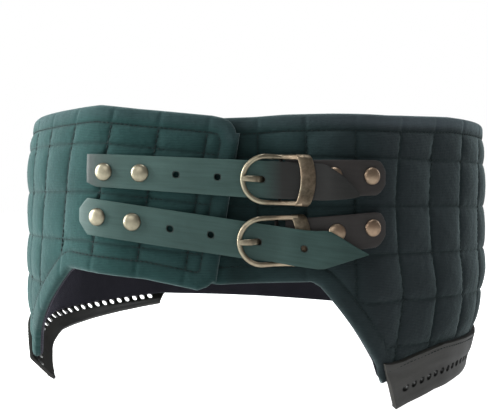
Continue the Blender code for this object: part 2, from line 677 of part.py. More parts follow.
def make_frame(spec, lifts, keeper_under, material, collection, cutters):
    """D frame with a bar under the strap and a wide flat keeper bar at its right end."""
    strap_left = float(lifts(FRAME_LEFT + spec.shift * MM)) + STRAP_THICK
    left = strap_left + FRAME_ABOVE_STRAP + FRAME_WIRE
    bar_under = float(lifts(CENTRE_BAR_AT + spec.shift * MM))
    middle = bar_under - BAR_BELOW_STRAP - CENTRE_BAR_RADIUS
    keeper = keeper_under + KEEPER_THICK / 2
    straight = np.linspace(KEEPER_AT, FRAME_LEFT + FRAME_ROUND, 8)
    turn = np.radians(np.arange(1, 9) * 90 / 8)
    along = np.concatenate([straight, FRAME_LEFT + FRAME_ROUND * (1.0 - np.sin(turn))])
    across = FRAME_HALF * np.concatenate([np.ones(len(straight)), np.cos(turn)])
    along = np.concatenate([along, along[-2::-1]])
    across = np.concatenate([across, -across[-2::-1]])
    lift = frame_lift(along, left, middle, keeper)
    loop = tube_object("buckle_frame_" + spec.name, frame_place(spec, along, across, lift),
                       [FRAME_WIRE] * len(along), 8, collection)
    loop.data.materials.append(material)

    heights = np.array([-FRAME_HALF, 0.0, FRAME_HALF])
    bar = tube_object(
        spec.name + "_bar",
        frame_place(spec, CENTRE_BAR_AT, heights, middle), [CENTRE_BAR_RADIUS] * 3, 8, cutters)
    shares = np.linspace(-1.0, 1.0, 7)
    heights = shares * (FRAME_HALF + KEEPER_PAST_FRAME)
    bulge = KEEPER_BULGE * (1.0 - shares ** 2)
    edges = KEEPER_AT + bulge[:, None] + KEEPER_HALF * np.array([[-1.0, 1.0]])
    edges, across = edges[::-1], heights[::-1, None]
    outer = frame_place(spec, edges, across, keeper + KEEPER_THICK / 2)
    inner = frame_place(spec, edges, across, keeper - KEEPER_THICK / 2)
    plate = object_from_grid(spec.name + "_keeper", outer, inner, material, cutters)
    for tool in (bar, plate):
        tool.hide_render = True
        tool.display_type = "WIRE"
        union = loop.modifiers.new(tool.name, "BOOLEAN")
        union.operation = "UNION"
        union.solver = "EXACT"
        union.object = tool
    return left, middle


def make_prong(spec, lifts, left, middle, material, collection):
    """From beside the centre bar, up through the strap's hole and onto the frame."""
    bases = {
        "bar": middle,
        "strap": float(lifts(PRONG_HOLE_AT + spec.shift * MM)) + STRAP_THICK,
        "frame": left + FRAME_WIRE + GAP + PRONG[0].radius * MM,
    }
    along = PRONG_HOLE_AT - np.array([point.past for point in PRONG]) * MM
    rise = np.array([bases[point.base] + point.height * MM for point in PRONG])
    places = frame_place(spec, along, 0.0, rise)
    radii = [point.radius * MM for point in PRONG]
    prong = tube_object("buckle_prong_" + spec.name, places, radii, 8, collection)
    prong.data.materials.append(material)
    return prong


def rivet_mesh(material):
    """A low dome, turned from its profile."""
    profile = [(0.0, 1.0), (0.45, 0.93), (0.8, 0.62), (1.0, 0.12), (0.97, 0.0), (0.0, 0.0)]
    mesh = bpy.data.meshes.new("rivet_profile")
    points = [(r * RIVET_RADIUS, 0.0, h * RIVET_HEIGHT) for r, h in profile]
    mesh.from_pydata(points, [(i, i + 1) for i in range(len(points) - 1)], [])
    mesh.materials.append(material)
    return mesh


def make_rivet(name, mesh, centre, facing, collection):
    rivet = bpy.data.objects.new(name, mesh)
    rivet.location = Vector(centre)
    rivet.rotation_mode = "QUATERNION"
    rivet.rotation_quaternion = facing.to_track_quat("Z", "Y")
    collection.objects.link(rivet)
    turn = rivet.modifiers.new("turn", "SCREW")
    turn.steps = 12
    turn.render_steps = 12
    turn.use_merge_vertices = True
    turn.merge_threshold = 0.0001
    turn.use_normal_calculate = True
    return rivet


def make_fastenings(cloth_side, metal, collection, cutters):
    green, brown = cloth_side
    supports = {}
    for spec, stations, lift_table in [(UPPER, UPPER_STRAP, UPPER_LIFT),
                                       (LOWER, LOWER_STRAP, LOWER_LIFT)]:
        def lifts(along, table=lift_table):
            return read_table(table, "lift", along) * MM

        def middle_line(along, spec=spec):
            return strap_middle(spec, along)

        def chape_line(along, spec=spec):
            return chape_middle(spec, along)

        strap = make_band("strap_" + spec.name, stations, lift_table, middle_line, STRAP_HALF,
                          lifts, STRAP_THICK, green, collection)
        prong_hole(strap, spec, lifts, cutters)
        make_band("chape_" + spec.name, CHAPE_OUTLINE, [], chape_line, CHAPE_HALF,
                  chape_lift, STRAP_THICK, brown, collection)
        if spec is UPPER:
            keeper_under = float(lifts(KEEPER_AT)) + STRAP_THICK + KEEPER_ABOVE_STRAP
        else:
            keeper_right = KEEPER_AT + KEEPER_HALF + KEEPER_BULGE + spec.shift * MM
            keeper_under = float(chape_lift(keeper_right)) + STRAP_THICK + KEEPER_ABOVE_CHAPE
        left, middle = make_frame(spec, lifts, keeper_under, metal, collection, cutters)
        make_prong(spec, lifts, left, middle, metal, collection)
        supports[spec.name + "_strap"] = (middle_line, lifts)
        supports[spec.name + "_chape"] = (chape_line, chape_lift)
    return supports


def make_rivets(supports, metal, collection):
    mesh = rivet_mesh(metal)
    for spec in RIVETS:
        line, lift = supports[spec.on]
        along = np.array(spec.along * MM)
        seat = lift(along) + STRAP_THICK + GAP
        centre = wall_point(along, line(along) + spec.offset * MM, seat)
        slope = float(lift(along + RIVET_RADIUS) - lift(along - RIVET_RADIUS)) / (2 * RIVET_RADIUS)
        out = RING.outward(along)
        facing = Vector((out[0] + slope * out[1], out[1] - slope * out[0], 0.0))
        make_rivet(spec.name, mesh, centre, facing, collection)


def main():
    clear_scene()
    belt = make_collection("quilted_hip_belt")
    cutters = make_collection("cutters")
    cloth = make_material("green_cloth", GREEN_CLOTH)
    lining = make_material("lining_cloth", LINING_CLOTH)
    green = make_material("green_leather", GREEN_LEATHER)
    brown = make_material("brown_leather", BROWN_LEATHER)
    metal = make_material("antique_brass", ANTIQUE_BRASS)
    make_panels(cloth, belt)
    make_lining(lining, belt)
    for spec in STRIPS:
        make_strip(spec, brown, belt, cutters)
    supports = make_fastenings((green, brown), metal, belt, cutters)
    make_rivets(supports, metal, belt)


main()
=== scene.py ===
# Looks of a quilted hip belt of gambeson cloth, with two buckled straps in front
# and a punched lacing strip on each hip flap. Lengths are in metres.
import math

import bpy
import numpy as np
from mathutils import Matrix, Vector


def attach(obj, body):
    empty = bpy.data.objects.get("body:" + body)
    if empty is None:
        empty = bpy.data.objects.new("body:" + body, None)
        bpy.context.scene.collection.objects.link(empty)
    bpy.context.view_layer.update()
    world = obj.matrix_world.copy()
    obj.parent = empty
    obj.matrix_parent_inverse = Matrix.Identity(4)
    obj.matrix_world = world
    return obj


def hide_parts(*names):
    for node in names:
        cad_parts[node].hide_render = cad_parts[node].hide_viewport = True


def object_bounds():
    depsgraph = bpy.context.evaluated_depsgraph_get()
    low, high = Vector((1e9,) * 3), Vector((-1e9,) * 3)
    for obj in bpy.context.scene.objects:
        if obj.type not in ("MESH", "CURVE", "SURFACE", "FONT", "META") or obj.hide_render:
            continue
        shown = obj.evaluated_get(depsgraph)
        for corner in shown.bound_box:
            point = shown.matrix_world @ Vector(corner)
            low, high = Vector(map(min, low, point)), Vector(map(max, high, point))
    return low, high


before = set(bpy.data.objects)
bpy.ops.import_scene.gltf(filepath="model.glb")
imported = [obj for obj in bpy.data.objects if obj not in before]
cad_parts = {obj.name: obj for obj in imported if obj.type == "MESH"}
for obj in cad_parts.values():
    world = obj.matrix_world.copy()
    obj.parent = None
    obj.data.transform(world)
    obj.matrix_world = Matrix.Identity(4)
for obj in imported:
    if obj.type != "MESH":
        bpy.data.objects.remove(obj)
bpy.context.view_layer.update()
print("frame loaded with", len(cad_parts), "nodes")

# The ring of the belt. A place on its wall is along, the distance round the ring from the
# front to the right, z, and lift, the distance out from the seams of the outer cloth.
beltForm = {
    "planX": [-0.020, 0.030, 0.075, 0.123, 0.161, 0.184, 0.187, 0.168, 0.120,
              0.040, -0.045, -0.120, -0.172, -0.191, -0.181, -0.156, -0.112, -0.070],
    "planY": [-0.141, -0.1405, -0.132, -0.103, -0.072, -0.032, 0.012, 0.065, 0.108,
              0.133, 0.133, 0.109, 0.066, 0.015, -0.035, -0.088, -0.132, -0.140],
    "planSteps": 48,
    "topAlong": [-0.090, 0.0, 0.020, 0.054, 0.100, 0.160, 0.230, 0.300, 0.525, 0.740, 0.800,
                 0.835, 0.870, 0.911, 0.942, 0.973, 1.023, 1.030, 1.035, 1.038, 1.039],
    "topHeight": [0.0583, 0.0613, 0.0627, 0.0634, 0.0636, 0.066, 0.0655, 0.063, 0.062, 0.066,
                  0.0705, 0.0694, 0.0688, 0.0689, 0.0696, 0.066, 0.0612, 0.0596, 0.057, 0.053,
                  0.049],
    "hemAlong": [-0.090, -0.075, -0.048, -0.035, -0.025, 0.0, 0.040, 0.046, 0.099, 0.103, 0.130,
                 0.160, 0.200, 0.230, 0.260, 0.330, 0.345, 0.525, 0.599, 0.616, 0.741, 0.791,
                 0.814, 0.819, 0.839, 0.911, 0.917, 0.977, 1.000, 1.013, 1.020, 1.023],
    "hemHeight": [-0.044, -0.045, -0.050, -0.053, -0.0545, -0.0534, -0.0523, -0.056, -0.116,
                  -0.128, -0.1215, -0.1155, -0.1145, -0.1145, -0.110, -0.101, -0.0995, -0.091,
                  -0.088, -0.087, -0.095, -0.110, -0.123, -0.120, -0.098, -0.046, -0.044,
                  -0.050, -0.0546, -0.0575, -0.055, -0.052],
    "driftAlong": [-0.090, 0.060, 0.110, 0.200, 0.260, 0.525, 0.791, 0.851, 0.936, 1.021],
    "rise": [0.0, 0.0, 0.0, 0.0, 0.0, 0.005, 0.011, 0.011, 0.010, 0.001],
    "lean": [0.0, 0.0, 0.0, 0.0, 0.0, 0.0, 0.06, 0.16, 0.16, 0.16],
    "bow": [0.0, 0.0, 0.008, 0.004, 0.0, 0.0, 0.0, 0.0, 0.0, 0.0],
    "bowHeight": 0.055, "bowMost": 0.009,
    "leanAlong": [0.060, 0.160, 0.240, 0.330, 0.525],
    "leanIn": [0.004, 0.001, 0.0005, 0.003, 0.004],
    "leanFrom": 0.020, "leanSpan": 0.045,
    "curlFrom": -0.050, "curlSpan": 0.080, "curlRight": 0.016, "curlLeft": 0.003,
    "curlMost": 0.88, "curlPower": 1.4,
    "leftFrom": 0.35, "leftSpan": 0.30,
    "sinkDepth": 0.00888, "sinkFullUntil": -0.012, "sinkEnds": 0.085,
    "tangentReach": 0.003, "edgeRounds": 6,
}


def smoothStep(value):
    # 3v^2 - 2v^3 between 0 and 1
    value = np.clip(value, 0.0, 1.0)
    return value * value * (3.0 - 2.0 * value)


def ringLine():
    # Closed line through the plan's stations: each stretch is a cubic whose end slopes
    # follow the centripetal rule, so that it never loops
    start = np.stack([beltForm["planX"], beltForm["planY"]], axis=1)
    before, end, after = (np.roll(start, k, axis=0) for k in (1, -1, -2))
    gap = np.sqrt(np.linalg.norm(end - start, axis=1))[:, None]
    gapBefore, gapAfter = np.roll(gap, 1, axis=0), np.roll(gap, -1, axis=0)
    leave = (end - start) - gap * (end - before) / (gapBefore + gap)
    leave += gap * (start - before) / gapBefore
    arrive = (end - start) + gap * (after - end) / gapAfter
    arrive -= gap * (after - start) / (gap + gapAfter)
    t = np.linspace(0.0, 1.0, beltForm["planSteps"], endpoint=False)[None, :, None]
    line = (2 * t**3 - 3 * t**2 + 1) * start[:, None] + (t**3 - 2 * t**2 + t) * leave[:, None]
    line = line + (3 * t**2 - 2 * t**3) * end[:, None] + (t**3 - t**2) * arrive[:, None]
    line = line.reshape(-1, 2)
    return np.vstack([line, line[:1]])


ringXY = ringLine()
ringSteps = np.linalg.norm(np.diff(ringXY, axis=0), axis=1)
ringPlaces = np.concatenate([[0.0], np.cumsum(ringSteps)])
ringLength = ringPlaces[-1]
nearFront = np.where((ringXY[:-1, 0] < 0.0) & (ringXY[:-1, 1] < 0.0))[0]
nearFront = nearFront[np.argmax(ringXY[nearFront, 0])]
ringFront = ringPlaces[nearFront] + ringSteps[nearFront] * (
    -ringXY[nearFront, 0] / (ringXY[nearFront + 1, 0] - ringXY[nearFront, 0]))


def position(along):
    place = np.mod(along + ringFront, ringLength)
    return np.stack([np.interp(place, ringPlaces, ringXY[:, k]) for k in (0, 1)], axis=-1)


def outward(along):
    # The ring's tangent over the reach to both sides, turned a quarter
    reach = beltForm["tangentReach"]
    tangent = position(along + reach) - position(along - reach)
    tangent /= np.linalg.norm(tangent, axis=-1, keepdims=True)
    return np.stack([tangent[..., 1], -tangent[..., 0]], axis=-1)


def outwardSpace(along):
    # The same with a height of 0
    return np.concatenate([outward(along), np.zeros((len(along), 1))], axis=1)


def wallPoint(along, z, lift):
    # Ring position, moved out by lift less the inset: the wall leans in at its top and
    # curls in, as a power of the depth, where the hip flaps hang
    along, z, lift = np.broadcast_arrays(along, z, lift)
    turn = np.mod(along, ringLength) / ringLength
    side = smoothStep((turn - beltForm["leftFrom"]) / beltForm["leftSpan"])
    depth = beltForm["curlRight"] + (beltForm["curlLeft"] - beltForm["curlRight"]) * side
    top = np.clip((z - beltForm["leanFrom"]) / beltForm["leanSpan"], 0.0, None)
    curl = np.clip((beltForm["curlFrom"] - z) / beltForm["curlSpan"], 0.0, beltForm["curlMost"])
    leanIn = np.interp(along, beltForm["leanAlong"], beltForm["leanIn"])
    inset = leanIn * top**2 + depth * curl ** beltForm["curlPower"]
    plan = position(along) + outward(along) * (lift - inset)[..., None]
    return np.concatenate([plan, z[..., None]], axis=-1)


def sink(along):
    # How far the right front lies in, under the left one
    span = beltForm["sinkEnds"] - beltForm["sinkFullUntil"]
    share = (along - beltForm["sinkFullUntil"]) / span
    return -beltForm["sinkDepth"] * (1.0 - smoothStep(share))


def driftValue(name, u):
    return np.interp(u, beltForm["driftAlong"], beltForm[name])


def drift(u, z):
    # Shift along the ring of a line that starts upright at u: a lean and a bow
    bow = driftValue("bow", u) * (z / beltForm["bowHeight"]) ** 2
    return driftValue("lean", u) * z + np.clip(bow, 0.0, beltForm["bowMost"])


def edgeHeight(u, edge):
    # Height at which the leaning line u meets the top or the hem: the mean of the last height
    # and the edge's own there, several times
    alongs, heights = beltForm[edge + "Along"], beltForm[edge + "Height"]
    z = np.interp(u, alongs, heights)
    for _ in range(beltForm["edgeRounds"]):
        z = 0.5 * (z + np.interp(u + drift(u, z), alongs, heights))
    return z


# Meshes

def meshPiece(name, points, faces, material, uv=None, sharp=None):
    mesh = bpy.data.meshes.new(name)
    mesh.from_pydata(points.reshape(-1, 3).tolist(), [], faces)
    if uv is not None:
        corners = np.empty(len(mesh.loops), np.int32)
        mesh.loops.foreach_get("vertex_index", corners)
        layer = mesh.uv_layers.new(name="UVMap")
        layer.data.foreach_set("uv", uv.reshape(-1, 2)[corners].astype(np.float32).ravel())
    mesh.materials.append(material)
    mesh.shade_smooth()
    if sharp is not None:
        mesh.set_sharp_from_angle(angle=math.radians(sharp))
    mesh.update()
    piece = bpy.data.objects.new(name, mesh)
    bpy.context.scene.collection.objects.link(piece)
    return piece


def cellCorners(ids):
    # Four corners of each cell of a grid of point numbers
    corners = [ids[:-1, :-1], ids[:-1, 1:], ids[1:, 1:], ids[1:, :-1]]
    return np.stack(corners, axis=-1).reshape(-1, 4)


def gridFaces(rows, columns, first=0, closed=False):
    # The cells row by row, round to the first column if closed
    ids = first + np.arange(rows * columns).reshape(rows, columns)
    if closed:
        ids = np.concatenate([ids, ids[:, :1]], axis=1)
    return cellCorners(ids)


def triangles(quads):
    # Two triangles for each cell, without those that have lost a side
    both = np.concatenate([quads[:, [0, 1, 2]], quads[:, [0, 2, 3]]])
    a, b, c = both.T
    return both[(a != b) & (b != c) & (a != c)]


def withoutLoose(count, faces):
    # Which of the points the faces use, and each point's number among those
    used = np.zeros(count, bool)
    used[faces.ravel()] = True
    return used, np.cumsum(used) - 1


def shadeOn(piece, shade, values):
    # Stores one value a point, which the materials read by the shade's name
    layer = piece.data.attributes.new(shade, "FLOAT", "POINT")
    layer.data.foreach_set("value", values.astype(np.float32))


def ready(piece, slot, *nodes):
    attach(piece, "root")
    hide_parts(*nodes)
    return piece


# Shader maths

class Wire:
    # One output socket: Python's operators on it add Math nodes
    def __init__(self, paint, socket):
        self.paint, self.socket = paint, socket

    def sums(self, operation, first, second=None):
        values = [first] if second is None else [first, second]
        return self.paint.node("ShaderNodeMath", {"operation": operation}, dict(enumerate(values)))

    def __add__(self, other):
        return self.sums("ADD", self, other)

    def __radd__(self, other):
        return self.sums("ADD", other, self)

    def __sub__(self, other):
        return self.sums("SUBTRACT", self, other)

    def __rsub__(self, other):
        return self.sums("SUBTRACT", other, self)

    def __mul__(self, other):
        return self.sums("MULTIPLY", self, other)

    def __rmul__(self, other):
        return self.sums("MULTIPLY", other, self)

    def sine(self):
        return self.sums("SINE", self)

    def within(self):
        return self.paint.node("ShaderNodeClamp", {}, {"Value": self})


class Paint:
    # A material being mixed
    def __init__(self, name):
        self.material = bpy.data.materials.new(name)
        self.material.use_nodes = True
        self.tree = self.material.node_tree
        self.shader = self.tree.nodes["Principled BSDF"]

    def plug(self, socket, value):
        if isinstance(value, Wire):
            self.tree.links.new(value.socket, socket)
        else:
            socket.default_value = value

    def node(self, kind, settings, inputs, output=0):
        new = self.tree.nodes.new(kind)
        for name, value in settings.items():
            setattr(new, name, value)
        for name, value in inputs.items():
            self.plug(new.inputs[name], value)
        return Wire(self, new.outputs[output])

    def spot(self):
        return self.node("ShaderNodeTexCoord", {}, {}, "Object")

    def east(self):
        # Distance to the right of the belt's middle
        return self.node("ShaderNodeSeparateXYZ", {}, {0: self.spot()})

    def shade(self, name):
        return self.node("ShaderNodeAttribute", {"attribute_name": name}, {}, "Fac")

    def uvParts(self):
        # The map's vector, and its parts along and across the piece
        uv = self.node("ShaderNodeUVMap", {"uv_map": "UVMap"}, {})
        split = self.node("ShaderNodeSeparateXYZ", {}, {0: uv})
        return uv, split, Wire(self, split.socket.node.outputs[1])

    def noise(self, where, scale, detail=3.0, roughness=0.55):
        inputs = {"Vector": where, "Scale": scale, "Detail": detail, "Roughness": roughness}
        return self.node("ShaderNodeTexNoise", {}, inputs)

    def stretched(self, where, scale):
        return self.node("ShaderNodeMapping", {}, {"Vector": where, "Scale": scale})

    def blend(self, share, first, second):
        settings = {"data_type": "RGBA"}
        return self.node("ShaderNodeMix", settings, {0: share, 6: first, 7: second}, 2)

    def bump(self, height, distance, strength=1.0, under=None):
        inputs = {"Height": height, "Distance": distance, "Strength": strength}
        if under is not None:
            inputs["Normal"] = under
        return self.node("ShaderNodeBump", {}, inputs)

    def done(self, **sockets):
        for name, value in sockets.items():
            self.plug(self.shader.inputs[name.replace("_", " ")], value)
        return self.material


clothLook = {
    "dark": (0.0060, 0.0230, 0.0222, 1.0), "light": (0.0155, 0.0560, 0.0530, 1.0),
    "shadedDark": (0.0070, 0.0105, 0.0120, 1.0), "shadedLight": (0.0160, 0.0215, 0.0240, 1.0),
    "paintedShade": (0.0030, 0.0085, 0.0085, 1.0), "paintedShadeShare": 0.62,
    "paintedRimSheen": (0.0560, 0.0700, 0.0800, 1.0),
    "roughness": 0.92, "sheen": 0.30, "sheenRoughness": 0.40,
    "sheenTint": (0.72, 0.92, 0.92, 1.0), "specular": 0.16,
    "rib": 0.0011, "thread": 0.0008, "wobbles": 260.0, "wobble": 1.6,
    "slubs": (220.0, 1500.0, 1.0), "patches": 24.0, "clouds": 9.0,
    "shadeEastBy": 5.5, "shadeEastAtFront": 0.26, "weaveDepth": 0.00020,
    "crumples": 130.0, "crumpleDepth": 0.0011,
}


def clothPaint():
    # Woven cotton: ribs along the belt, crossed by finer threads, with a slubby tone
    look = clothLook
    paint = Paint("quilted cotton")
    uv, along, height = paint.uvParts()
    wobble = paint.noise(uv, look["wobbles"], 2.0) * look["wobble"]
    rib = (height * (2 * math.pi / look["rib"]) + wobble).sine() * 0.5 + 0.5
    thread = (along * (2 * math.pi / look["thread"]) + wobble).sine() * 0.5 + 0.5
    slub = paint.noise(paint.stretched(uv, look["slubs"]), 1.0, 2.0)
    patch = paint.noise(uv, look["patches"], 4.0)
    tone = (rib * 0.30 + slub * 0.75 + patch * 0.90 - 0.48).within()
    green = paint.blend(tone, look["dark"], look["light"])
    shadedCopy = paint.blend(tone, look["shadedDark"], look["shadedLight"])
    # Painted shade: towards the right hip, away from the key light, the lit green turns to a darker,
    # greyer shaded copy
    cloud = paint.noise(uv, look["clouds"], 3.0) * 0.5
    paintedShadeEast = (paint.east() * look["shadeEastBy"] + cloud + look["shadeEastAtFront"]).within()
    colour = paint.blend(paintedShadeEast, green, shadedCopy)
    # Painted shade darkens the seams and the overlap's end, and a painted highlight pales the top rim
    colour = paint.blend((paint.shade("paintedShade") * look["paintedShadeShare"]).within(), colour, look["paintedShade"])
    # The painted highlight on the top rim, broken up by the slubs
    paintedRimSheen = (paint.shade("paintedRimSheen") * (slub * 0.5 + 0.75)).within()
    colour = paint.blend(paintedRimSheen, colour, look["paintedRimSheen"])
    fine = paint.bump(rib * 0.5 + thread * 0.2 + slub * 0.6, look["weaveDepth"], 0.7)
    soft = paint.bump(paint.noise(uv, look["crumples"], 4.0), look["crumpleDepth"], 0.6, fine)
    return paint.done(Base_Color=colour, Roughness=look["roughness"], Normal=soft,
                      Specular_IOR_Level=look["specular"], Sheen_Weight=look["sheen"],
                      Sheen_Roughness=look["sheenRoughness"], Sheen_Tint=look["sheenTint"])


liningLook = {
    "dark": (0.0085, 0.0080, 0.0120, 1.0), "light": (0.0190, 0.0180, 0.0260, 1.0),
    "roughness": 0.85, "sheen": 0.3, "sheenTint": (0.75, 0.7, 0.9, 1.0),
    "weave": 0.0007, "weaveDepth": 0.0001, "patches": 30.0,
    "crumples": 90.0, "crumpleDepth": 0.0012,
}


def liningPaint():
    # Plain weave of a near black cotton with a purple cast
    look = liningLook
    paint = Paint("plain lining cotton")
    uv, along, height = paint.uvParts()
    warp = (along * (2 * math.pi / look["weave"])).sine()
    weft = (height * (2 * math.pi / look["weave"])).sine()
    patch = paint.noise(uv, look["patches"], 4.0)
    colour = paint.blend((patch + warp * weft * 0.1).within(), look["dark"], look["light"])
    fine = paint.bump(warp * weft, look["weaveDepth"], 0.6)
    soft = paint.bump(paint.noise(uv, look["crumples"], 4.0), look["crumpleDepth"], 0.6, fine)
    return paint.done(Base_Color=colour, Roughness=look["roughness"], Normal=soft,
                      Specular_IOR_Level=0.25, Sheen_Weight=look["sheen"],
                      Sheen_Roughness=0.4, Sheen_Tint=look["sheenTint"])


greenLeather = {
    "dark": (0.011, 0.030, 0.026, 1.0), "edge": (0.010, 0.012, 0.011, 1.0),
    "roughness": 0.52, "grain": 1500.0, "brush": (26.0, 520.0, 1.0), "specular": 0.28,
}
leatherLooks = {
    "lower": {**greenLeather, "name": "green strap leather", "light": (0.042, 0.084, 0.075, 1.0),
              "paintedShadeFall": 2.4},
    "upper": {**greenLeather, "name": "green strap leather with a brown end",
              "light": (0.052, 0.098, 0.088, 1.0), "paintedShadeFall": 3.4,
              "brown": ((0.0130, 0.0130, 0.0120, 1.0), (0.0230, 0.0225, 0.0210, 1.0)),
              "brownFrom": 0.004, "brownGain": 70.0, "rootTo": -0.088, "rootGain": 45.0},
    "chape": {"name": "brown chape leather", "dark": (0.016, 0.013, 0.012, 1.0),
              "light": (0.034, 0.030, 0.028, 1.0), "edge": (0.012, 0.010, 0.010, 1.0),
              "roughness": 0.55, "grain": 1300.0, "brush": (60.0, 260.0, 1.0), "specular": 0.3},
    "strip": {"name": "brown strip leather", "dark": (0.018, 0.017, 0.015, 1.0),
              "light": (0.050, 0.047, 0.042, 1.0), "edge": (0.012, 0.012, 0.011, 1.0),
              "roughness": 0.50, "grain": 1200.0, "brush": (30.0, 190.0, 1.0), "specular": 0.35},
}
leatherRelief = {"patches": 38.0, "grainDepth": 0.00012, "wearDepth": 0.0006}


def leatherPaint(look):
    # Drum dyed leather: fine grain, long streaks of the dye along the piece, dull handled
    # patches, painted shade along the piece, and holes painted dark as shade where the value edge rises
    # to 1
    paint = Paint(look["name"])
    uv, along, _ = paint.uvParts()
    grain = paint.noise(uv, look["grain"], 3.0)
    streak = paint.noise(paint.stretched(uv, look["brush"]), 1.0, 4.0)
    patch = paint.noise(uv, leatherRelief["patches"], 5.0)
    tone = streak * 0.75 + patch * 0.7 + grain * 0.2 - 0.35
    # Painted shade: the tone falls along the piece, darker to the right, away from the key light
    tone = (tone - along * look.get("paintedShadeFall", 0.0)).within()
    colour = paint.blend(tone, look["dark"], look["light"])
    if "brown" in look:
        # Brown from the buckle on, and painted shade that darkens the riveted end
        brown = ((along - look["brownFrom"]) * look["brownGain"]).within()
        colour = paint.blend(brown, colour, paint.blend(tone, *look["brown"]))
        paintedRootShade = ((look["rootTo"] - along) * look["rootGain"]).within()
        colour = paint.blend(paintedRootShade * 0.7, colour, look["brown"][0])
    # Painted shade in the punched holes, where the value edge is 1
    colour = paint.blend(paint.shade("edge").within(), colour, look["edge"])
    rough = patch * 0.16 + grain * 0.08 + (look["roughness"] - 0.12)
    fine = paint.bump(grain, leatherRelief["grainDepth"], 0.55)
    worn = paint.bump(patch * 0.6 + streak * 0.4, leatherRelief["wearDepth"], 0.45, fine)
    return paint.done(Base_Color=colour, Roughness=rough, Normal=worn,
                      Specular_IOR_Level=look["specular"])


brassLook = {
    "dark": (0.056, 0.044, 0.030, 1.0), "light": (0.315, 0.285, 0.205, 1.0),
    "pink": (0.37, 0.225, 0.150, 1.0), "shadowBlack": (0.010, 0.009, 0.008, 1.0), "roughness": 0.38,
    "stains": 260.0, "clouds": 85.0, "scratches": (300.0, 300.0, 2600.0), "reliefDepth": 0.0002,
    "pinkBy": 7.0, "pinkAtFront": -0.25,
}


def brassPaint():
    # Antique plating: brown in the hollows and rubbed bright where it stands up, which the
    # value edge tells, under small stains and fine scratches. Below -1 it is painted near black as
    # shade.
    look = brassLook
    paint = Paint("antique brass")
    where = paint.spot()
    stain = paint.noise(where, look["stains"], 5.0, 0.65)
    cloud = paint.noise(where, look["clouds"], 3.0)
    scratch = paint.noise(paint.stretched(where, look["scratches"]), 1.0, 2.0)
    rub = paint.shade("edge")
    pink = (cloud * 0.8 + paint.east() * look["pinkBy"] + look["pinkAtFront"]).within()
    metal = paint.blend(pink, look["light"], look["pink"])
    worn = (stain + rub * 0.75 - 0.26).within()
    shadowBlack = (-1.0 - rub).within()
    colour = paint.blend(shadowBlack, paint.blend(worn, look["dark"], metal), look["shadowBlack"])
    rough = (1.0 - worn) * 0.22 + scratch * 0.12 + (look["roughness"] - 0.10)
    return paint.done(Base_Color=colour, Metallic=0.9, Roughness=rough.within(),
                      Normal=paint.bump(stain * 0.6 + scratch * 0.4, look["reliefDepth"], 0.4))


threadLook = {
    "dark": (0.003, 0.006, 0.006, 1.0), "light": (0.010, 0.018, 0.018, 1.0),
    "twists": 2200.0, "roughness": 0.75, "specular": 0.2,
}


def threadPaint():
    look = threadLook
    paint = Paint("dark thread")
    twist = paint.noise(paint.spot(), look["twists"], 2.0)
    return paint.done(Base_Color=paint.blend(twist, look["dark"], look["light"]),
                      Roughness=look["roughness"], Specular_IOR_Level=look["specular"])


cloth = clothPaint()
liningCloth = liningPaint()
strapLeather = {level: leatherPaint(leatherLooks[level]) for level in ("upper", "lower")}
chapeLeather = leatherPaint(leatherLooks["chape"])
stripLeather = leatherPaint(leatherLooks["strip"])
brass = brassPaint()
thread = threadPaint()
print("materials mixed")

# Quilted cloth
quilt = {
    "rightEnd": -0.075, "leftEndBeforeFront": 0.018,
    "seamRight": 0.069, "seamLeft": 0.040, "gaps": 28, "hiddenCells": 5,
    "rowTop": 0.033, "rowPitch": 0.0335, "rowsDown": 5, "rowsUp": 1,
    "puff": 0.0028, "rowDepth": 0.80, "pillowPower": 2.2, "valley": 0.0018,
    "padding": 0.006, "stitchIn": 0.012, "roll": 0.0011, "rim": 0.004,
    "rimOut": 0.0031, "rimIn": 0.0027,
    "cellSteps": 16, "cellCrowd": 0.55, "snap": 0.0011,
    "edgeSteps": [0.0, 0.0003, 0.0009, 0.0017, 0.0027, 0.0040, 0.0055, 0.0073, 0.0090,
                  0.0104, 0.0114, 0.0120, 0.0126, 0.0136, 0.0152],
    "innerEdgeSteps": [0.0, 0.0006, 0.0017, 0.0035, 0.0060, 0.0120],
    "overlapShare": 0.3, "overlapFrom": -0.012, "overlapSpan": 0.020,
    "pucker": 0.00030, "puckerPitch": 0.0078, "puckerReach": 0.0050,
    "uneven": 0.00065,
}
leftEnd = ringLength - quilt["leftEndBeforeFront"]
seamPitch = (ringLength - quilt["seamLeft"] - quilt["seamRight"]) / quilt["gaps"]


def beltOutline():
    # The cloth's edge laid flat, as corners (along, z): hem, left end, top and right end
    ends = np.array([quilt["rightEnd"], leftEnd])
    low, high = edgeHeight(ends, "hem"), edgeHeight(ends, "top")
    lowAlong, highAlong = ends + drift(ends, low), ends + drift(ends, high)
    parts = []
    for edge, first, last in (("hem", lowAlong, low), ("top", highAlong, high)):
        along = np.array(beltForm[edge + "Along"])
        inside = (along > first[0]) & (along < first[1])
        along = np.concatenate([first[:1], along[inside], first[1:]])
        z = np.array(beltForm[edge + "Height"])[inside]
        parts.append(np.stack([along, np.concatenate([last[:1], z, last[1:]])], axis=1))
    return np.vstack([parts[0], parts[1][::-1]])


outline = beltOutline()


def edgeDistance(along, z):
    # Least distance to the straight stretches of the outline
    best = np.full(np.broadcast(along, z).shape, 1.0)
    for (a0, z0), (a1, z1) in zip(outline, np.roll(outline, -1, axis=0)):
        da, dz = a1 - a0, z1 - z0
        share = np.clip(((along - a0) * da + (z - z0) * dz) / (da * da + dz * dz), 0.0, 1.0)
        best = np.minimum(best, np.hypot(along - a0 - share * da, z - z0 - share * dz))
    return best


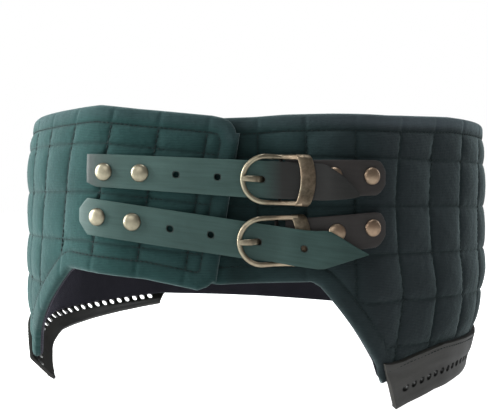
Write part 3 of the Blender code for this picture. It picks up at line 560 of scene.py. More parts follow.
def pillow(distance, half):
    # Rises from 0 at a seam to 1 half a cell away: 1 - (1 - d / half)^p
    soft = np.sqrt(distance ** 2 + quilt["valley"] ** 2) - quilt["valley"]
    return 1.0 - (1.0 - np.clip(soft / half, 0.0, 1.0)) ** quilt["pillowPower"]


def unevenness(along, z):
    # Three long waves that cross at odd angles
    waves = np.sin(61 * along + 37 * z + 1.0) + np.sin(71 * z - 43 * along + 2.2)
    return (waves + np.sin(97 * along - 29 * z + 4.1)) / 3.0


def cellReach(u, z):
    # Distances to the nearest seam and row, and the cell's numbers
    pitch, row = seamPitch, quilt["rowPitch"]
    rise = driftValue("rise", u)
    cell, level = (u - quilt["seamRight"]) / pitch, (z - rise - quilt["rowTop"]) / row
    i, j = np.floor(cell + 1e-6), np.floor(level + 1e-6)
    toSeam = np.minimum(cell - i, i + 1 - cell) * pitch
    return toSeam, np.minimum(level - j, j + 1 - level) * row, i, j


def paintedShadeAt(u, z, edge):
    # Painted shade for the creases: 1 on the seams and less on the edge stitching and the rows, falling
    # off as bells
    toSeam, toRow, _, _ = cellReach(u, z)
    inBody = edge - quilt["stitchIn"]
    cells = np.maximum(np.exp(-(toSeam / 0.0016) ** 2), 0.75 * np.exp(-(toRow / 0.0013) ** 2))
    seamShade = np.maximum(cells * (inBody > 0.0), 0.9 * np.exp(-(inBody / 0.0011) ** 2))
    # Painted shadow: beside the overlap's free end the right piece lies in the left piece's shade
    start = leftEnd - ringLength
    shade = smoothStep((u - start + 0.004) / 0.006) * smoothStep((start + 0.026 - u) / 0.020)
    return np.maximum(seamShade, 0.85 * shade)


def paintedRimSheenAt(u, z, edge):
    # Strength of the painted highlight on the rolled edge: most at the rim of the top band,
    # from the front to the right hip
    rim = smoothStep((0.011 - edge) / 0.006) * smoothStep((z - 0.040) / 0.006)
    return rim * (0.18 + 0.60 * smoothStep((u - 0.02) / 0.10) * smoothStep((0.32 - u) / 0.10))


def quiltLift(u, z, along, edge):
    # Relief of the outer cloth. In a cell it is puff times the root of the pillows from the
    # seams, the rows and the edge stitching. In the edge band it is half an ellipse across
    # the band, rounded off at the rim by a quarter ellipse.
    pitch, row = seamPitch, quilt["rowPitch"]
    toSeam, toRow, i, j = cellReach(u, z)
    inBody = edge - quilt["stitchIn"]
    # Each cell's own fullness, scattered by its numbers
    fullness = 0.88 + 0.24 * np.mod(np.abs(np.sin(i * 12.9898 + j * 78.233) * 437.585), 1.0)
    fromRow = 1.0 - quilt["rowDepth"] * (1.0 - np.sqrt(pillow(toRow, row / 2)))
    body = np.sqrt(pillow(np.clip(toSeam, 0, None), pitch / 2)) * fromRow
    body = body * np.sqrt(pillow(np.clip(inBody, 0.0, None), 0.014)) * quilt["puff"] * fullness
    # Puckers cross the seams and the rows as waves that die away from them
    wave = 2 * np.pi / quilt["puckerPitch"]
    atSeam = np.sin(wave * z + 2.1 * i + 1.4 * np.sin(53 * z + i))
    atRow = np.sin(wave * along + 1.7 * j + 1.4 * np.sin(47 * along + j))
    pucker = np.exp(-toSeam / quilt["puckerReach"]) * atSeam
    pucker = pucker + 0.7 * np.exp(-toRow / quilt["puckerReach"]) * atRow
    fade = smoothStep(np.minimum(toSeam, toRow) / 0.0015 + 0.25) * smoothStep(inBody / 0.006)
    body = body + (quilt["pucker"] * pucker + quilt["uneven"] * unevenness(along, z)) * fade
    mid = quilt["stitchIn"] / 2
    band = quilt["roll"] * np.sqrt(np.clip(1.0 - ((edge - mid) / mid) ** 2, 0.0, None))
    band = band * (1.0 - 0.55 * np.exp(-(toSeam / 0.0016) ** 2))
    lift = np.where(inBody > 0.0, body, band)
    shown = smoothStep((u - quilt["overlapFrom"]) / quilt["overlapSpan"])
    lift = lift * (quilt["overlapShare"] + (1.0 - quilt["overlapShare"]) * shown)
    return lift - quilt["rimOut"] * rimFall(edge)


def rimFall(edge):
    # Quarter circle at the rim: 1 on the edge, 0 from one rim width in
    near = 1.0 - np.clip(edge / quilt["rim"], 0.0, 1.0)
    return 1.0 - np.sqrt(np.clip(1.0 - near**2, 0.0, None))


def cellPlaces(first, pitch, low, high):
    # Lines through the cells from low to high, crowded at the seams:
    # t - crowd sin(2 pi t) / (2 pi)
    t = np.arange(quilt["cellSteps"]) / quilt["cellSteps"]
    t = t - quilt["cellCrowd"] * np.sin(2 * np.pi * t) / (2 * np.pi)
    return (first + (np.arange(low, high)[:, None] + t[None, :]) * pitch).ravel()


def clothColumns(start, end, every=1):
    # Columns from start to end, with the edge's own spacing where an end is a free edge
    steps = np.array(quilt["edgeSteps"])
    low = start + (steps if start <= quilt["rightEnd"] else steps[:1])
    high = end - (steps if end >= leftEnd else steps[:1])[::-1]
    body = cellPlaces(quilt["seamRight"], seamPitch, -quilt["hiddenCells"], quilt["gaps"] + 2)
    body = body[::every]
    body = body[(body > low[-1] + 0.0005) & (body < high[0] - 0.0005)]
    return np.concatenate([low, body, high])


def clothRows(u, levels, steps):
    # Heights of the rows in each column and the vertex that each stands for. Rows that pass
    # the edge's margin are set on it. Near a sloping edge the margin is widened by the slope.
    top, hem = edgeHeight(u, "top"), edgeHeight(u, "hem")
    reach = 0.012
    widen = []
    for edge in ("top", "hem"):
        slope = (edgeHeight(u + reach, edge) - edgeHeight(u - reach, edge)) / (2 * reach)
        widen.append(np.sqrt(1.0 + slope**2))
    steps = np.array(steps)[:, None]
    above = top[None, :] - steps[::-1] * widen[0][None, :]
    below = hem[None, :] + steps * widen[1][None, :]
    rise = driftValue("rise", u)
    body = levels[:, None] + rise[None, :]
    tooHigh, tooLow = body > above[:1] - quilt["snap"], body < below[-1:] + quilt["snap"]
    body = np.where(tooHigh, above[:1], np.where(tooLow, below[-1:], body))
    z = np.concatenate([below, body, above])
    ids = np.arange(z.size).reshape(z.shape)
    inner = slice(len(steps), len(steps) + len(levels))
    ids[inner] = np.where(tooHigh, ids[inner.stop][None, :], ids[inner])
    ids[inner] = np.where(tooLow, ids[len(steps) - 1][None, :], ids[inner])
    return z, ids


def closedCloth(name, sides, material, shades=None):
    # sides holds the outer and the inner grid as (points, ids, uv). Bands and two end faces
    # join their borders. shades holds the outer grid's attributes.
    (outer, outerIds, outerUV), (inner, innerIds, innerUV) = sides
    innerIds = innerIds + outerIds.size
    faces = []
    for ids, turned in ((outerIds, False), (innerIds, True)):
        quads = cellCorners(ids)
        faces.append(triangles(quads[:, ::-1] if turned else quads))
    for row, turned in ((0, True), (-1, False)):
        quads = cellCorners(np.stack([outerIds[row], innerIds[row]]))
        faces.append(triangles(quads[:, ::-1] if turned else quads))
    ends = []
    for column, turned in ((0, False), (-1, True)):
        loop = np.concatenate([outerIds[:, column], innerIds[::-1, column]])
        loop = loop[np.concatenate([[True], np.diff(loop) != 0])]
        ends.append(loop[::-1] if turned else loop)
    faces = np.concatenate(faces)
    points = np.concatenate([outer.reshape(-1, 3), inner.reshape(-1, 3)])
    uv = np.concatenate([outerUV.reshape(-1, 2), innerUV.reshape(-1, 2)])
    used, renumber = withoutLoose(len(points), faces)
    faces = renumber[faces].tolist() + [renumber[loop].tolist() for loop in ends]
    piece = meshPiece(name, points[used], faces, material, uv[used])
    for shade, values in (shades or {}).items():
        rest = np.zeros(len(points) - values.size)
        shadeOn(piece, shade, np.concatenate([values.ravel(), rest])[used])
    return piece


def quiltSides(start, end):
    u = clothColumns(start, end)
    levels = cellPlaces(quilt["rowTop"], quilt["rowPitch"], -quilt["rowsDown"], quilt["rowsUp"])
    sides = []
    for steps, every, outside in ((quilt["edgeSteps"], 1, True),
                                  (quilt["innerEdgeSteps"], 8, False)):
        z, ids = clothRows(u, levels[::every], steps)
        along = u[None, :] + drift(u[None, :], z)
        edge = edgeDistance(along, z)
        if outside:
            shades = {"paintedShade": paintedShadeAt(u[None, :], z, edge),
                      "paintedRimSheen": paintedRimSheenAt(u[None, :], z, edge)}
            lift = quiltLift(u[None, :], z, along, edge)
        else:
            lift = -quilt["padding"] + quilt["rimIn"] * rimFall(edge)
        points = wallPoint(along, z, sink(u)[None, :] + lift)
        sides.append((points, ids, np.stack([along, z], axis=-1)))
    return sides, shades


# One cloth stands for the eight panels, whose joins lie in its seams
sides, shades = quiltSides(quilt["rightEnd"], leftEnd)
quiltPiece = closedCloth("quiltedCloth", sides, cloth, shades)
ready(quiltPiece, "green_cloth", "quilted_front_right", "quilted_hip_right", "quilted_side_right",
      "quilted_back_right", "quilted_back_left", "quilted_side_left", "quilted_hip_left",
      "quilted_front_left")
print("quilted cloth made:", len(quiltPiece.data.polygons), "faces")

# Lining
lining = {
    "gap": 0.0003, "thick": 0.0010, "inset": 0.0004, "dimple": 0.0007, "columnsEvery": 2,
    "rowsEvery": 2, "edgeSteps": [0.0004, 0.0009, 0.0018, 0.0030, 0.0045, 0.0070, 0.0105,
                                  0.0120, 0.0136], "flatCut": (1.11, 0.20), "flatArea": 0.152,
}


def liningSides():
    u = clothColumns(quilt["rightEnd"], leftEnd, lining["columnsEvery"])
    u[0] += lining["inset"]
    u[-1] -= lining["inset"]
    levels = cellPlaces(quilt["rowTop"], quilt["rowPitch"], -quilt["rowsDown"], quilt["rowsUp"])
    z, ids = clothRows(u, levels[:: lining["rowsEvery"]], lining["edgeSteps"])
    along = u[None, :] + drift(u[None, :], z)
    edge = edgeDistance(along, z)
    # Between the seams the lining stands in by up to the dimple, except under the overlap
    relief = quiltLift(u[None, :], z, along, np.maximum(edge, quilt["rim"])) / quilt["puff"]
    free = smoothStep(u / 0.03) * smoothStep((leftEnd - 0.09 - u) / 0.03)
    dimple = lining["dimple"] * np.clip(relief, 0.0, 1.2) * free[None, :]
    near = sink(u)[None, :] - quilt["padding"] + quilt["rimIn"] * rimFall(edge) - lining["gap"]
    uv = np.stack([along, z], axis=-1)
    return [(wallPoint(along, z, near), ids, uv),
            (wallPoint(along, z, near - lining["thick"] - dimple), ids, uv)]


liningPiece = ready(closedCloth("liningCloth", liningSides(), liningCloth), "lining_cloth", "lining")
print("lining made:", len(liningPiece.data.polygons), "faces")

# Stitching
stitches = {
    "pitch": 0.0034, "length": 0.0023, "radius": 0.00036, "above": 0.00012,
    "shape": [(-1.0, 0.35), (-0.6, 1.0), (0.6, 1.0), (1.0, 0.35)], "sides": 4,
    "longestStep": 0.004,
}


def evenSteps(line, pitch):
    # Places at an even pitch along a line of points, and the line's direction there
    steps = np.linalg.norm(np.diff(line, axis=0), axis=1)
    places = np.concatenate([[0.0], np.cumsum(steps)])
    at = np.arange(pitch / 2, places[-1], pitch)
    point = np.stack([np.interp(at, places, line[:, k]) for k in (0, 1)], axis=1)
    which = np.clip(np.searchsorted(places, at) - 1, 0, len(steps) - 1)
    way = np.diff(line, axis=0)[which] / steps[which][:, None]
    return point, way, steps[which]


def stitchPoints(lines):
    # Middle and direction of every stitch of every line, in (along, z), with none in a gap
    points, ways = [], []
    for line in lines:
        point, way, step = evenSteps(line, stitches["pitch"])
        keep = step < stitches["longestStep"]
        points.append(point[keep])
        ways.append(way[keep])
    return np.concatenate(points), np.concatenate(ways)


def threadPiece(name, starts, ends, normals):
    # Each stitch is a four sided spindle from start to end
    middle, half = (starts + ends) / 2, (ends - starts) / 2
    way = half / np.linalg.norm(half, axis=1, keepdims=True)
    side = np.cross(way, normals)
    side /= np.linalg.norm(side, axis=1, keepdims=True)
    up = np.cross(side, way)
    shape = np.array(stitches["shape"])
    angle = np.arange(stitches["sides"]) * 2 * np.pi / stitches["sides"] + np.pi / 4
    ring = np.cos(angle)[:, None, None] * side[None] + np.sin(angle)[:, None, None] * up[None]
    points = middle[None, None] + shape[:, 0][:, None, None, None] * half[None, None]
    points = points + stitches["radius"] * shape[:, 1][:, None, None, None] * ring[None]
    points = points.transpose(2, 0, 1, 3)
    count, rings, sides = points.shape[:3]
    one = gridFaces(rings, sides, closed=True)
    caps = np.array([np.arange(sides)[::-1], (rings - 1) * sides + np.arange(sides)])
    faces = np.concatenate([one, caps])[None] + (np.arange(count) * rings * sides)[:, None, None]
    return meshPiece(name, points, faces.reshape(-1, 4).tolist(), thread)


def clothStitches():
    # Upright seams and rows of the quilting, inside the edge stitching
    lines = []
    z = np.arange(-0.125, 0.075, 0.001)
    for i in range(-2, quilt["gaps"] + 1):
        u = np.full_like(z, quilt["seamRight"] + i * seamPitch)
        lines.append(np.stack([u, z], axis=1))
    u = np.arange(quilt["rightEnd"] + 0.014, leftEnd - 0.014, 0.001)
    rise = driftValue("rise", u)
    for j in range(-4, 2):
        lines.append(np.stack([u, quilt["rowTop"] + j * quilt["rowPitch"] + rise], axis=1))
    point, way = stitchPoints(lines)
    edge = edgeDistance(point[:, 0] + drift(*point.T), point[:, 1])
    top, hem = edgeHeight(point[:, 0], "top"), edgeHeight(point[:, 0], "hem")
    inside = (edge > quilt["stitchIn"] + 0.001) & (point[:, 1] < top) & (point[:, 1] > hem)
    return point[inside], way[inside]


def edgeStitches():
    # The outline moved in by the stitching's distance, without what comes too near an edge
    line = np.vstack([outline, outline[:1]])
    point, way, _ = evenSteps(line, 0.0005)
    point = point + quilt["stitchIn"] * np.stack([-way[:, 1], way[:, 0]], axis=1)
    keep = edgeDistance(*point.T) > quilt["stitchIn"] - 0.0003
    return stitchPoints([point[keep]])


def stitchEnds(u, z, lift):
    return wallPoint(u + drift(u, z), z, sink(u) + lift)


half = stitches["length"] / 2
point, way = clothStitches()
starts, ends = (stitchEnds(*(point + sign * half * way).T, stitches["above"]) for sign in (-1, 1))
normals = outwardSpace(point[:, 0])
edgePoint, edgeWay = edgeStitches()
edgeEnds = [wallPoint(*(edgePoint + sign * half * edgeWay).T,
                      sink(edgePoint[:, 0]) + stitches["above"]) for sign in (-1, 1)]
edgeNormals = outwardSpace(edgePoint[:, 0])
stitchPiece = threadPiece("quiltingStitches", np.concatenate([starts, edgeEnds[0]]),
                          np.concatenate([ends, edgeEnds[1]]),
                          np.concatenate([normals, edgeNormals]))
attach(stitchPiece, "root")
print("stitches sewn:", len(point) + len(edgePoint))


# Leather

def spacedLines(start, end, pitch, centres, half, cells):
    # Even lines from start to end, with even lines of their own across each hole's block
    marks = sorted([start, end] + [c + s * half for c in centres for s in (-1, 1)])
    lines, blocks = [np.array([marks[0]])], []
    for a, b in zip(marks[:-1], marks[1:]):
        isBlock = any(abs((a + b) / 2 - c) < 1e-7 and abs(b - a - 2 * half) < 1e-7 for c in centres)
        count = cells if isBlock else max(1, round((b - a) / pitch))
        if isBlock:
            blocks.append(sum(len(x) for x in lines) - 1)
        lines.append(np.linspace(a, b, count + 1)[1:])
    return np.concatenate(lines), blocks


def holedSheet(name, sLines, tLines, sBlocks, tBlock, cells, radius, place, thick, bevel, material):
    # A grid in s and t whose blocks of cells are open: between a block's border and a
    # circle of the same number of points runs a ring of faces. Solidify makes the wall.
    rows, columns = len(tLines), len(sLines)
    s, t = np.meshgrid(sLines, tLines)
    flat = np.stack([s, t], axis=-1).reshape(-1, 2)
    quads = gridFaces(rows, columns)
    left, low = quads[:, 0] % columns, quads[:, 0] // columns
    keep = np.ones(len(quads), bool)
    rings, count = [flat], len(flat)
    faces = []
    for block in sBlocks:
        keep &= ~((left >= block) & (left < block + cells) & (low >= tBlock) & (low < tBlock + cells))
        k = np.arange(cells)
        border = np.concatenate([
            tBlock * columns + block + k, (tBlock + k) * columns + block + cells,
            (tBlock + cells) * columns + block + cells - k, (tBlock + cells - k) * columns + block])
        corners = flat[border]
        centre = corners.mean(axis=0)
        away = corners - centre
        size = np.linalg.norm(away, axis=1, keepdims=True)
        circle = centre + away / size * radius
        between = centre + away / size * (radius + 0.35 * (size - radius))
        rings += [between, circle]
        ids = np.stack([border, count + np.arange(len(border)),
                        count + len(border) + np.arange(len(border))])
        ids = np.concatenate([ids, ids[:, :1]], axis=1)
        faces.append(cellCorners(ids))
        count += 2 * len(border)
    flat = np.concatenate(rings)
    faces = np.concatenate([quads[keep]] + faces)
    points, uv = place(flat[:, 0], flat[:, 1])
    used, renumber = withoutLoose(len(points), faces)
    piece = meshPiece(name, points[used], renumber[faces].tolist(), material, uv[used])
    # The punched holes get painted shade: 1 on each hole's circle, which follows its outer ring
    dark = [np.full(len(ring), float(i > 0 and i % 2 == 0)) for i, ring in enumerate(rings)]
    shadeOn(piece, "edge", np.concatenate(dark)[used])
    wall = piece.modifiers.new("wall", "SOLIDIFY")
    wall.thickness = thick
    wall.offset = -1.0
    wall.use_even_offset = True
    soften = piece.modifiers.new("soften", "BEVEL")
    soften.width = bevel
    soften.segments = 2
    soften.limit_method = "ANGLE"
    soften.angle_limit = math.radians(50)
    soften.harden_normals = False
    return piece


fastenings = {
    "upper": {"height": 0.0176, "slope": -0.045, "chapeHeight": 0.0184, "chapeSlope": 0.0,
              "frameHeight": 0.0176, "frameSlope": -0.03, "shift": 0.0},
    "lower": {"height": -0.0240, "slope": -0.15, "chapeHeight": -0.0219, "chapeSlope": 0.08,
              "frameHeight": -0.0243, "frameSlope": 0.03, "shift": -0.0022},
}
straps = {
    "half": 0.0124, "thick": 0.0028, "bevel": 0.0004, "pitch": 0.0022, "cells": 6,
    "block": 0.0042, "holeRadius": 0.0021,
    "creaseDepth": 0.00022, "creaseWidth": 0.0006, "creaseLean": 0.16,
    "upper": {
        "along": [-0.1125, -0.106, -0.085, -0.010, 0.044, 0.047, 0.051, 0.0585, 0.063, 0.068],
        "low": [-0.55, -0.78, -0.83, -1.0, -1.0, -0.98, -0.95, -0.88, -0.82, -0.70],
        "high": [1.0, 1.0, 1.0, 1.0, 1.0, 0.93, 0.73, 0.33, -0.05, -0.45],
        "liftAlong": [-0.120, -0.016, -0.004, 0.012, 0.017, 0.027, 0.036, 0.041, 0.047, 0.052,
                      0.060, 0.070],
        "lift": [0.0031, 0.0031, 0.0026, 0.0020, 0.0019, 0.0013, 0.0020, 0.0025, 0.0056, 0.0063,
                 0.0069, 0.0070],
        "holes": [-0.0525, -0.0250, 0.0045], "creases": [],
    },
    "lower": {
        "along": [-0.1185, -0.112, -0.002, 0.006, 0.012, 0.017, 0.026, 0.033, 0.041, 0.0453,
                  0.049, 0.056, 0.059, 0.066, 0.074],
        "low": [-0.35, -1.0, -1.0, -0.97, -0.95, -0.97, -1.0, -1.0, -1.0, -0.94, -0.8, -0.53,
                -0.42, -0.15, 0.14],
        "high": [0.35, 1.0, 1.0, 1.0, 1.0, 1.0, 1.0, 1.0, 1.05, 1.12, 1.14, 0.88, 0.76, 0.46,
                 0.18],
        "liftAlong": [-0.120, -0.016, -0.004, 0.010, 0.0148, 0.020, 0.025, 0.030, 0.036, 0.042,
                      0.052, 0.060, 0.076],
        "lift": [0.0031, 0.0031, 0.0027, 0.0023, 0.0027, 0.0038, 0.0048, 0.0050, 0.0051, 0.0055,
                 0.0064, 0.0070, 0.0074],
        "holes": [-0.0565, -0.0295, 0.0023, 0.0320],
        "creases": [(-0.0505, 0.9), (-0.0475, 1.0), (-0.0440, 0.7), (-0.0410, 0.5)],
    },
}


def strapMiddle(level, along):
    return fastenings[level]["height"] + fastenings[level]["slope"] * along


def strapUnder(level, along):
    return np.interp(along, straps[level]["liftAlong"], straps[level]["lift"])


def softTable(along, alongs, values, blur):
    # A table read with its corners softened: the mean of five readings over the blur
    return sum(np.interp(along + k * blur / 2, alongs, values) for k in (-2, -1, 0, 1, 2)) / 5


def makeStrap(level):
    spec = straps[level]
    sLines, blocks = spacedLines(spec["along"][0], spec["along"][-1], straps["pitch"],
                                 spec["holes"], straps["block"], straps["cells"])
    tLines, tBlocks = spacedLines(-straps["half"], straps["half"], straps["pitch"], [0.0],
                                  straps["block"], straps["cells"])

    def place(s, c):
        # Across the strap, from its low to its high edge at that place
        low = np.interp(s, spec["along"], spec["low"]) * straps["half"]
        high = np.interp(s, spec["along"], spec["high"]) * straps["half"]
        across = low + (c / straps["half"] + 1.0) / 2 * (high - low)
        lift = softTable(s, spec["liftAlong"], spec["lift"], 0.004) + straps["thick"]
        for at, deep in spec["creases"]:
            line = (s - at - straps["creaseLean"] * across) / straps["creaseWidth"]
            lift = lift - straps["creaseDepth"] * deep * np.exp(-line**2)
        return (wallPoint(s, strapMiddle(level, s) + across, lift),
                np.stack([s, across], axis=-1))

    piece = holedSheet("strap" + level.capitalize(), sLines, tLines, blocks, tBlocks[0],
                       straps["cells"], straps["holeRadius"], place, straps["thick"],
                       straps["bevel"], strapLeather[level])
    return ready(piece, "strap_leather", "strap_" + level)


chapes = {
    "half": 0.0124, "thick": 0.0028, "pitch": 0.0685 / 36,
    "along": [0.0205, 0.058, 0.070, 0.082, 0.086, 0.089],
    "low": [-1.0, -1.0, -0.97, -0.93, -0.7, -0.3], "high": [1.0, 1.0, 1.0, 1.0, 0.9, 0.4],
}


def chapeMiddle(level, along):
    spec = fastenings[level]
    return spec["chapeHeight"] + spec["chapeSlope"] * (along - chapes["along"][0])


def chapeUnder(along):
    return sink(along) + quilt["puff"] + 0.0003


def makeChape(level):
    sLines = np.arange(chapes["along"][0], chapes["along"][-1] + 1e-6, chapes["pitch"])
    tLines = np.linspace(-chapes["half"], chapes["half"], 13)

    def place(s, c):
        low = np.interp(s, chapes["along"], chapes["low"]) * chapes["half"]
        high = np.interp(s, chapes["along"], chapes["high"]) * chapes["half"]
        across = low + (c / chapes["half"] + 1.0) / 2 * (high - low)
        lift = chapeUnder(s) + chapes["thick"]
        return wallPoint(s, chapeMiddle(level, s) + across, lift), np.stack([s, across], axis=-1)

    piece = holedSheet("chape" + level.capitalize(), sLines, tLines, [], 0, 1, 0.0, place,
                       chapes["thick"], straps["bevel"], chapeLeather)
    return ready(piece, "chape_leather", "chape_" + level)


for level in ("upper", "lower"):
    makeStrap(level)
    makeChape(level)
print("straps and chapes made")

lacing = {
    "thick": 0.0024, "lift": 0.0010, "onCloth": 0.012, "bend": 0.001, "holes": 24,
    "holePitch": 0.0080, "holeRadius": 0.0025, "holeUp": 0.0100, "block": 0.0037, "cells": 6,
    "dropAlong": [0.100, 0.118, 0.160, 0.200, 0.230, 0.326, 0.616, 0.711, 0.821],
    "drop": [0.021, 0.024, 0.0235, 0.020, 0.0195, 0.010, 0.010, 0.015, 0.019],
    "hole": [0.014, 0.014, 0.0135, 0.0132, 0.013, 0.008, 0.0068, 0.0103, 0.0103],
    "blockFrom": 0.0060, "blockTo": 0.0140, "flatHeight": 0.028,
    "hemFrom": 0.105, "hemTo": 0.813, "ridgeUp": 0.30, "ridge": 0.00045,
    "ridgeWidth": 0.0008, "tuck": 0.0011, "sewnIn": 0.0028, "sewnDepth": 0.0003,
    "sewnWidth": 0.0006, "wave": 0.00025,
    "right": {"topStart": 0.100, "lowStart": 0.118, "lowEnd": 0.326, "topEnd": 0.342,
              "lean": 0.2, "firstHole": 0.125, "wall": 0.0042},
    "left": {"topStart": 0.601, "lowStart": 0.618, "lowEnd": 0.819, "topEnd": 0.814,
             "lean": 1.0, "firstHole": 0.6265, "wall": 0.0024},
}


def stripPlace(side, along, up, extra=0.0):
    # up is the height over the strip's lower edge. Below the hem the strip leans in.
    spec = lacing[side]
    hem = np.interp(np.clip(along, lacing["hemFrom"], lacing["hemTo"]),
                    beltForm["hemAlong"], beltForm["hemHeight"])
    drop = np.interp(along, lacing["dropAlong"], lacing["drop"])
    z = hem - drop + up
    lean = spec["lean"] * np.clip(hem - lacing["bend"] - z, 0.0, None)
    return wallPoint(along, z, lacing["lift"] + lacing["thick"] - lean + extra)


def stripWidth(along):
    return lacing["onCloth"] + np.interp(along, lacing["dropAlong"], lacing["drop"])


def makeLacing(side):
    spec = lacing[side]
    centres = [spec["firstHole"] + k * lacing["holePitch"] for k in range(lacing["holes"])]
    sLines, blocks = spacedLines(spec["lowStart"], spec["lowEnd"], 0.002, centres,
                                 lacing["block"], lacing["cells"])
    tLines, tBlocks = spacedLines(0.0, lacing["flatHeight"], 0.0014, [lacing["holeUp"]],
                                  lacing["block"], lacing["cells"])

    def place(s, t):
        # The rows about the holes keep their spacing round the holes' height, and the others
        # are spread from there to the strip's lower and upper edges. The ends slant.
        width = stripWidth(s)
        hole = np.interp(s, lacing["dropAlong"], lacing["hole"])
        low, high = lacing["blockFrom"], lacing["blockTo"]
        below = t / low * (hole + low - lacing["holeUp"])
        share = (t - high) / (lacing["flatHeight"] - high)
        blockTop = hole + high - lacing["holeUp"]
        above = blockTop + share * (width - blockTop)
        up = np.where(t < low, below, np.where(t > high, above, hole + t - lacing["holeUp"]))
        toStart = np.clip(1.0 - (s - spec["lowStart"]) / 0.006, 0.0, 1.0)
        toEnd = np.clip(1.0 - (spec["lowEnd"] - s) / 0.006, 0.0, 1.0)
        slant = toStart * (spec["topStart"] - spec["lowStart"])
        slant = slant + toEnd * (spec["topEnd"] - spec["lowEnd"])
        along = s + slant * up / width
        ridgeUp = lacing["ridgeUp"] * hole
        ridge = lacing["ridge"] * np.exp(-((up - ridgeUp) / lacing["ridgeWidth"]) ** 2)
        tuck = -lacing["tuck"] * np.clip(1.0 - up / ridgeUp, 0.0, 1.0) ** 1.5
        fromSewn = (width - lacing["sewnIn"] - up) / lacing["sewnWidth"]
        sew = -lacing["sewnDepth"] * np.exp(-fromSewn**2)
        wave = lacing["wave"] * np.sin(90 * along + 1.0) * np.sin(140 * along + 60 * up)
        uv = np.stack([along, up], axis=-1)
        return stripPlace(side, along, up, ridge + tuck + sew + wave), uv

    piece = holedSheet("lacingStrip" + side.capitalize(), sLines, tLines, blocks, tBlocks[0],
                       lacing["cells"], lacing["holeRadius"], place, spec["wall"], 0.0004,
                       stripLeather)
    return ready(piece, "strip_leather", "lacing_strip_" + side)


stripStarts, stripEnds, stripNormals = [], [], []
for side in ("left", "right"):
    makeLacing(side)
    spec = lacing[side]
    at = np.arange(spec["topStart"] + 0.006, spec["topEnd"] - 0.002, stitches["pitch"])
    for ends, sign in ((stripStarts, -1), (stripEnds, 1)):
        place = at + sign * half
        ends.append(stripPlace(side, place, stripWidth(place) - lacing["sewnIn"], -0.0001))
    stripNormals.append(outwardSpace(at))
stripThread = threadPiece("stripStitches", np.concatenate(stripStarts), np.concatenate(stripEnds),
                          np.concatenate(stripNormals))
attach(stripThread, "root")
print("lacing strips made")

# Buckles and rivets
buckle = {
    "wire": 0.0017, "flat": 0.0014, "left": -0.008, "half": 0.0154, "corner": 0.0155,
    "keeperAt": 0.031, "keeperHalf": 0.0050, "keeperThick": 0.0013,
    "keeperBulge": 0.0038, "pastFrame": 0.0020, "centreBar": 0.017, "barRadius": 0.0013,
    "aboveStrap": 0.0007, "belowStrap": 0.0005, "keeperAboveStrap": 0.0012,
    "keeperAboveChape": 0.0005, "sides": 14, "keeperRows": 41, "keeperSides": 24,
    "solidKeeper": 0.0020, "lowersFrom": 0.002,
    "prongHole": 0.0045, "prongHalf": 0.0021, "prongThick": 0.0012,
    "prongPast": [-0.0105, -0.0040, -0.0010, 0.0007, 0.0024, 0.0046, 0.0086, 0.0109, 0.0128],
    "prongBase": ["bar", "bar", "bar", "strap", "strap", "frame", "frame", "frame", "frame"],
    "prongRise": [0.0, -0.0004, 0.0001, 0.0010, 0.0020, -0.0008, -0.0001, 0.0, -0.0002],
    "prongSize": [0.7, 0.8, 0.95, 1.0, 1.0, 1.0, 0.96, 0.9, 0.72],
}


def fasteningPoint(level, along, across, lift):
    # A point of a buckle: along its middle line, and square to that
    spec = fastenings[level]
    height = spec["frameHeight"] + spec["frameSlope"] * along + across
    return wallPoint(along + spec["shift"] - spec["frameSlope"] * across, height, lift)


def frameLevels(level):
    shift = fastenings[level]["shift"]
    left = strapUnder(level, buckle["left"] + shift) + straps["thick"] + buckle["aboveStrap"] + 0.0016
    middle = strapUnder(level, buckle["centreBar"] + shift) - buckle["belowStrap"] - buckle["barRadius"]
    if level == "upper":
        under = strapUnder(level, buckle["keeperAt"]) + straps["thick"] + buckle["keeperAboveStrap"]
    else:
        right = buckle["keeperAt"] + buckle["keeperHalf"] + buckle["keeperBulge"] + shift
        under = chapeUnder(right) + chapes["thick"] + buckle["keeperAboveChape"]
    return left, middle, under + buckle["solidKeeper"] / 2


def frameLift(along, levels):
    # The sides go smoothly from the left bar's lift to the centre bar's and the keeper's
    left, middle, keeper = levels
    places = [buckle["lowersFrom"], buckle["centreBar"], buckle["keeperAt"]]
    weight = np.interp(along, places, [0.0, 1.0, 2.0])
    first = left + (middle - left) * smoothStep(weight)
    return np.where(weight <= 1.0, first, middle + (keeper - middle) * smoothStep(weight - 1.0))


def tubeGrid(level, along, across, lift, wide, thick, sides, power=2.6):
    # A line in (along, across, lift) with a superellipse around it: |cos|^(2/p) across the
    # line and |sin|^(2/p) out from the wall
    da, dc = np.gradient(along), np.gradient(across)
    size = np.hypot(da, dc) + 1e-12
    angle = np.arange(sides) * 2 * np.pi / sides
    cosine, sine = (np.sign(f) * np.abs(f) ** (2 / power) for f in (np.cos(angle), np.sin(angle)))
    wide = np.broadcast_to(wide, along.shape)[:, None] * cosine[None, :]
    a = along[:, None] + wide * (dc / size)[:, None]
    c = across[:, None] - wide * (da / size)[:, None]
    high = lift[:, None] + np.broadcast_to(thick, along.shape)[:, None] * sine[None, :]
    return fasteningPoint(level, a, c, high)


def brassPiece(name, grids, rub):
    # Tubes with flat ends, joined in one mesh. rub is the share of each point that is rubbed.
    points, faces, first = [], [], 0
    for grid in grids:
        rows, columns = grid.shape[:2]
        points.append(grid.reshape(-1, 3))
        faces += gridFaces(rows, columns, first, closed=True)[:, ::-1].tolist()
        faces.append((first + np.arange(columns)).tolist())
        faces.append((first + (rows - 1) * columns + np.arange(columns))[::-1].tolist())
        first += rows * columns
    piece = meshPiece(name, np.concatenate(points), faces, brass, sharp=50)
    shadeOn(piece, "edge", np.concatenate([r.ravel() for r in rub]))
    return piece


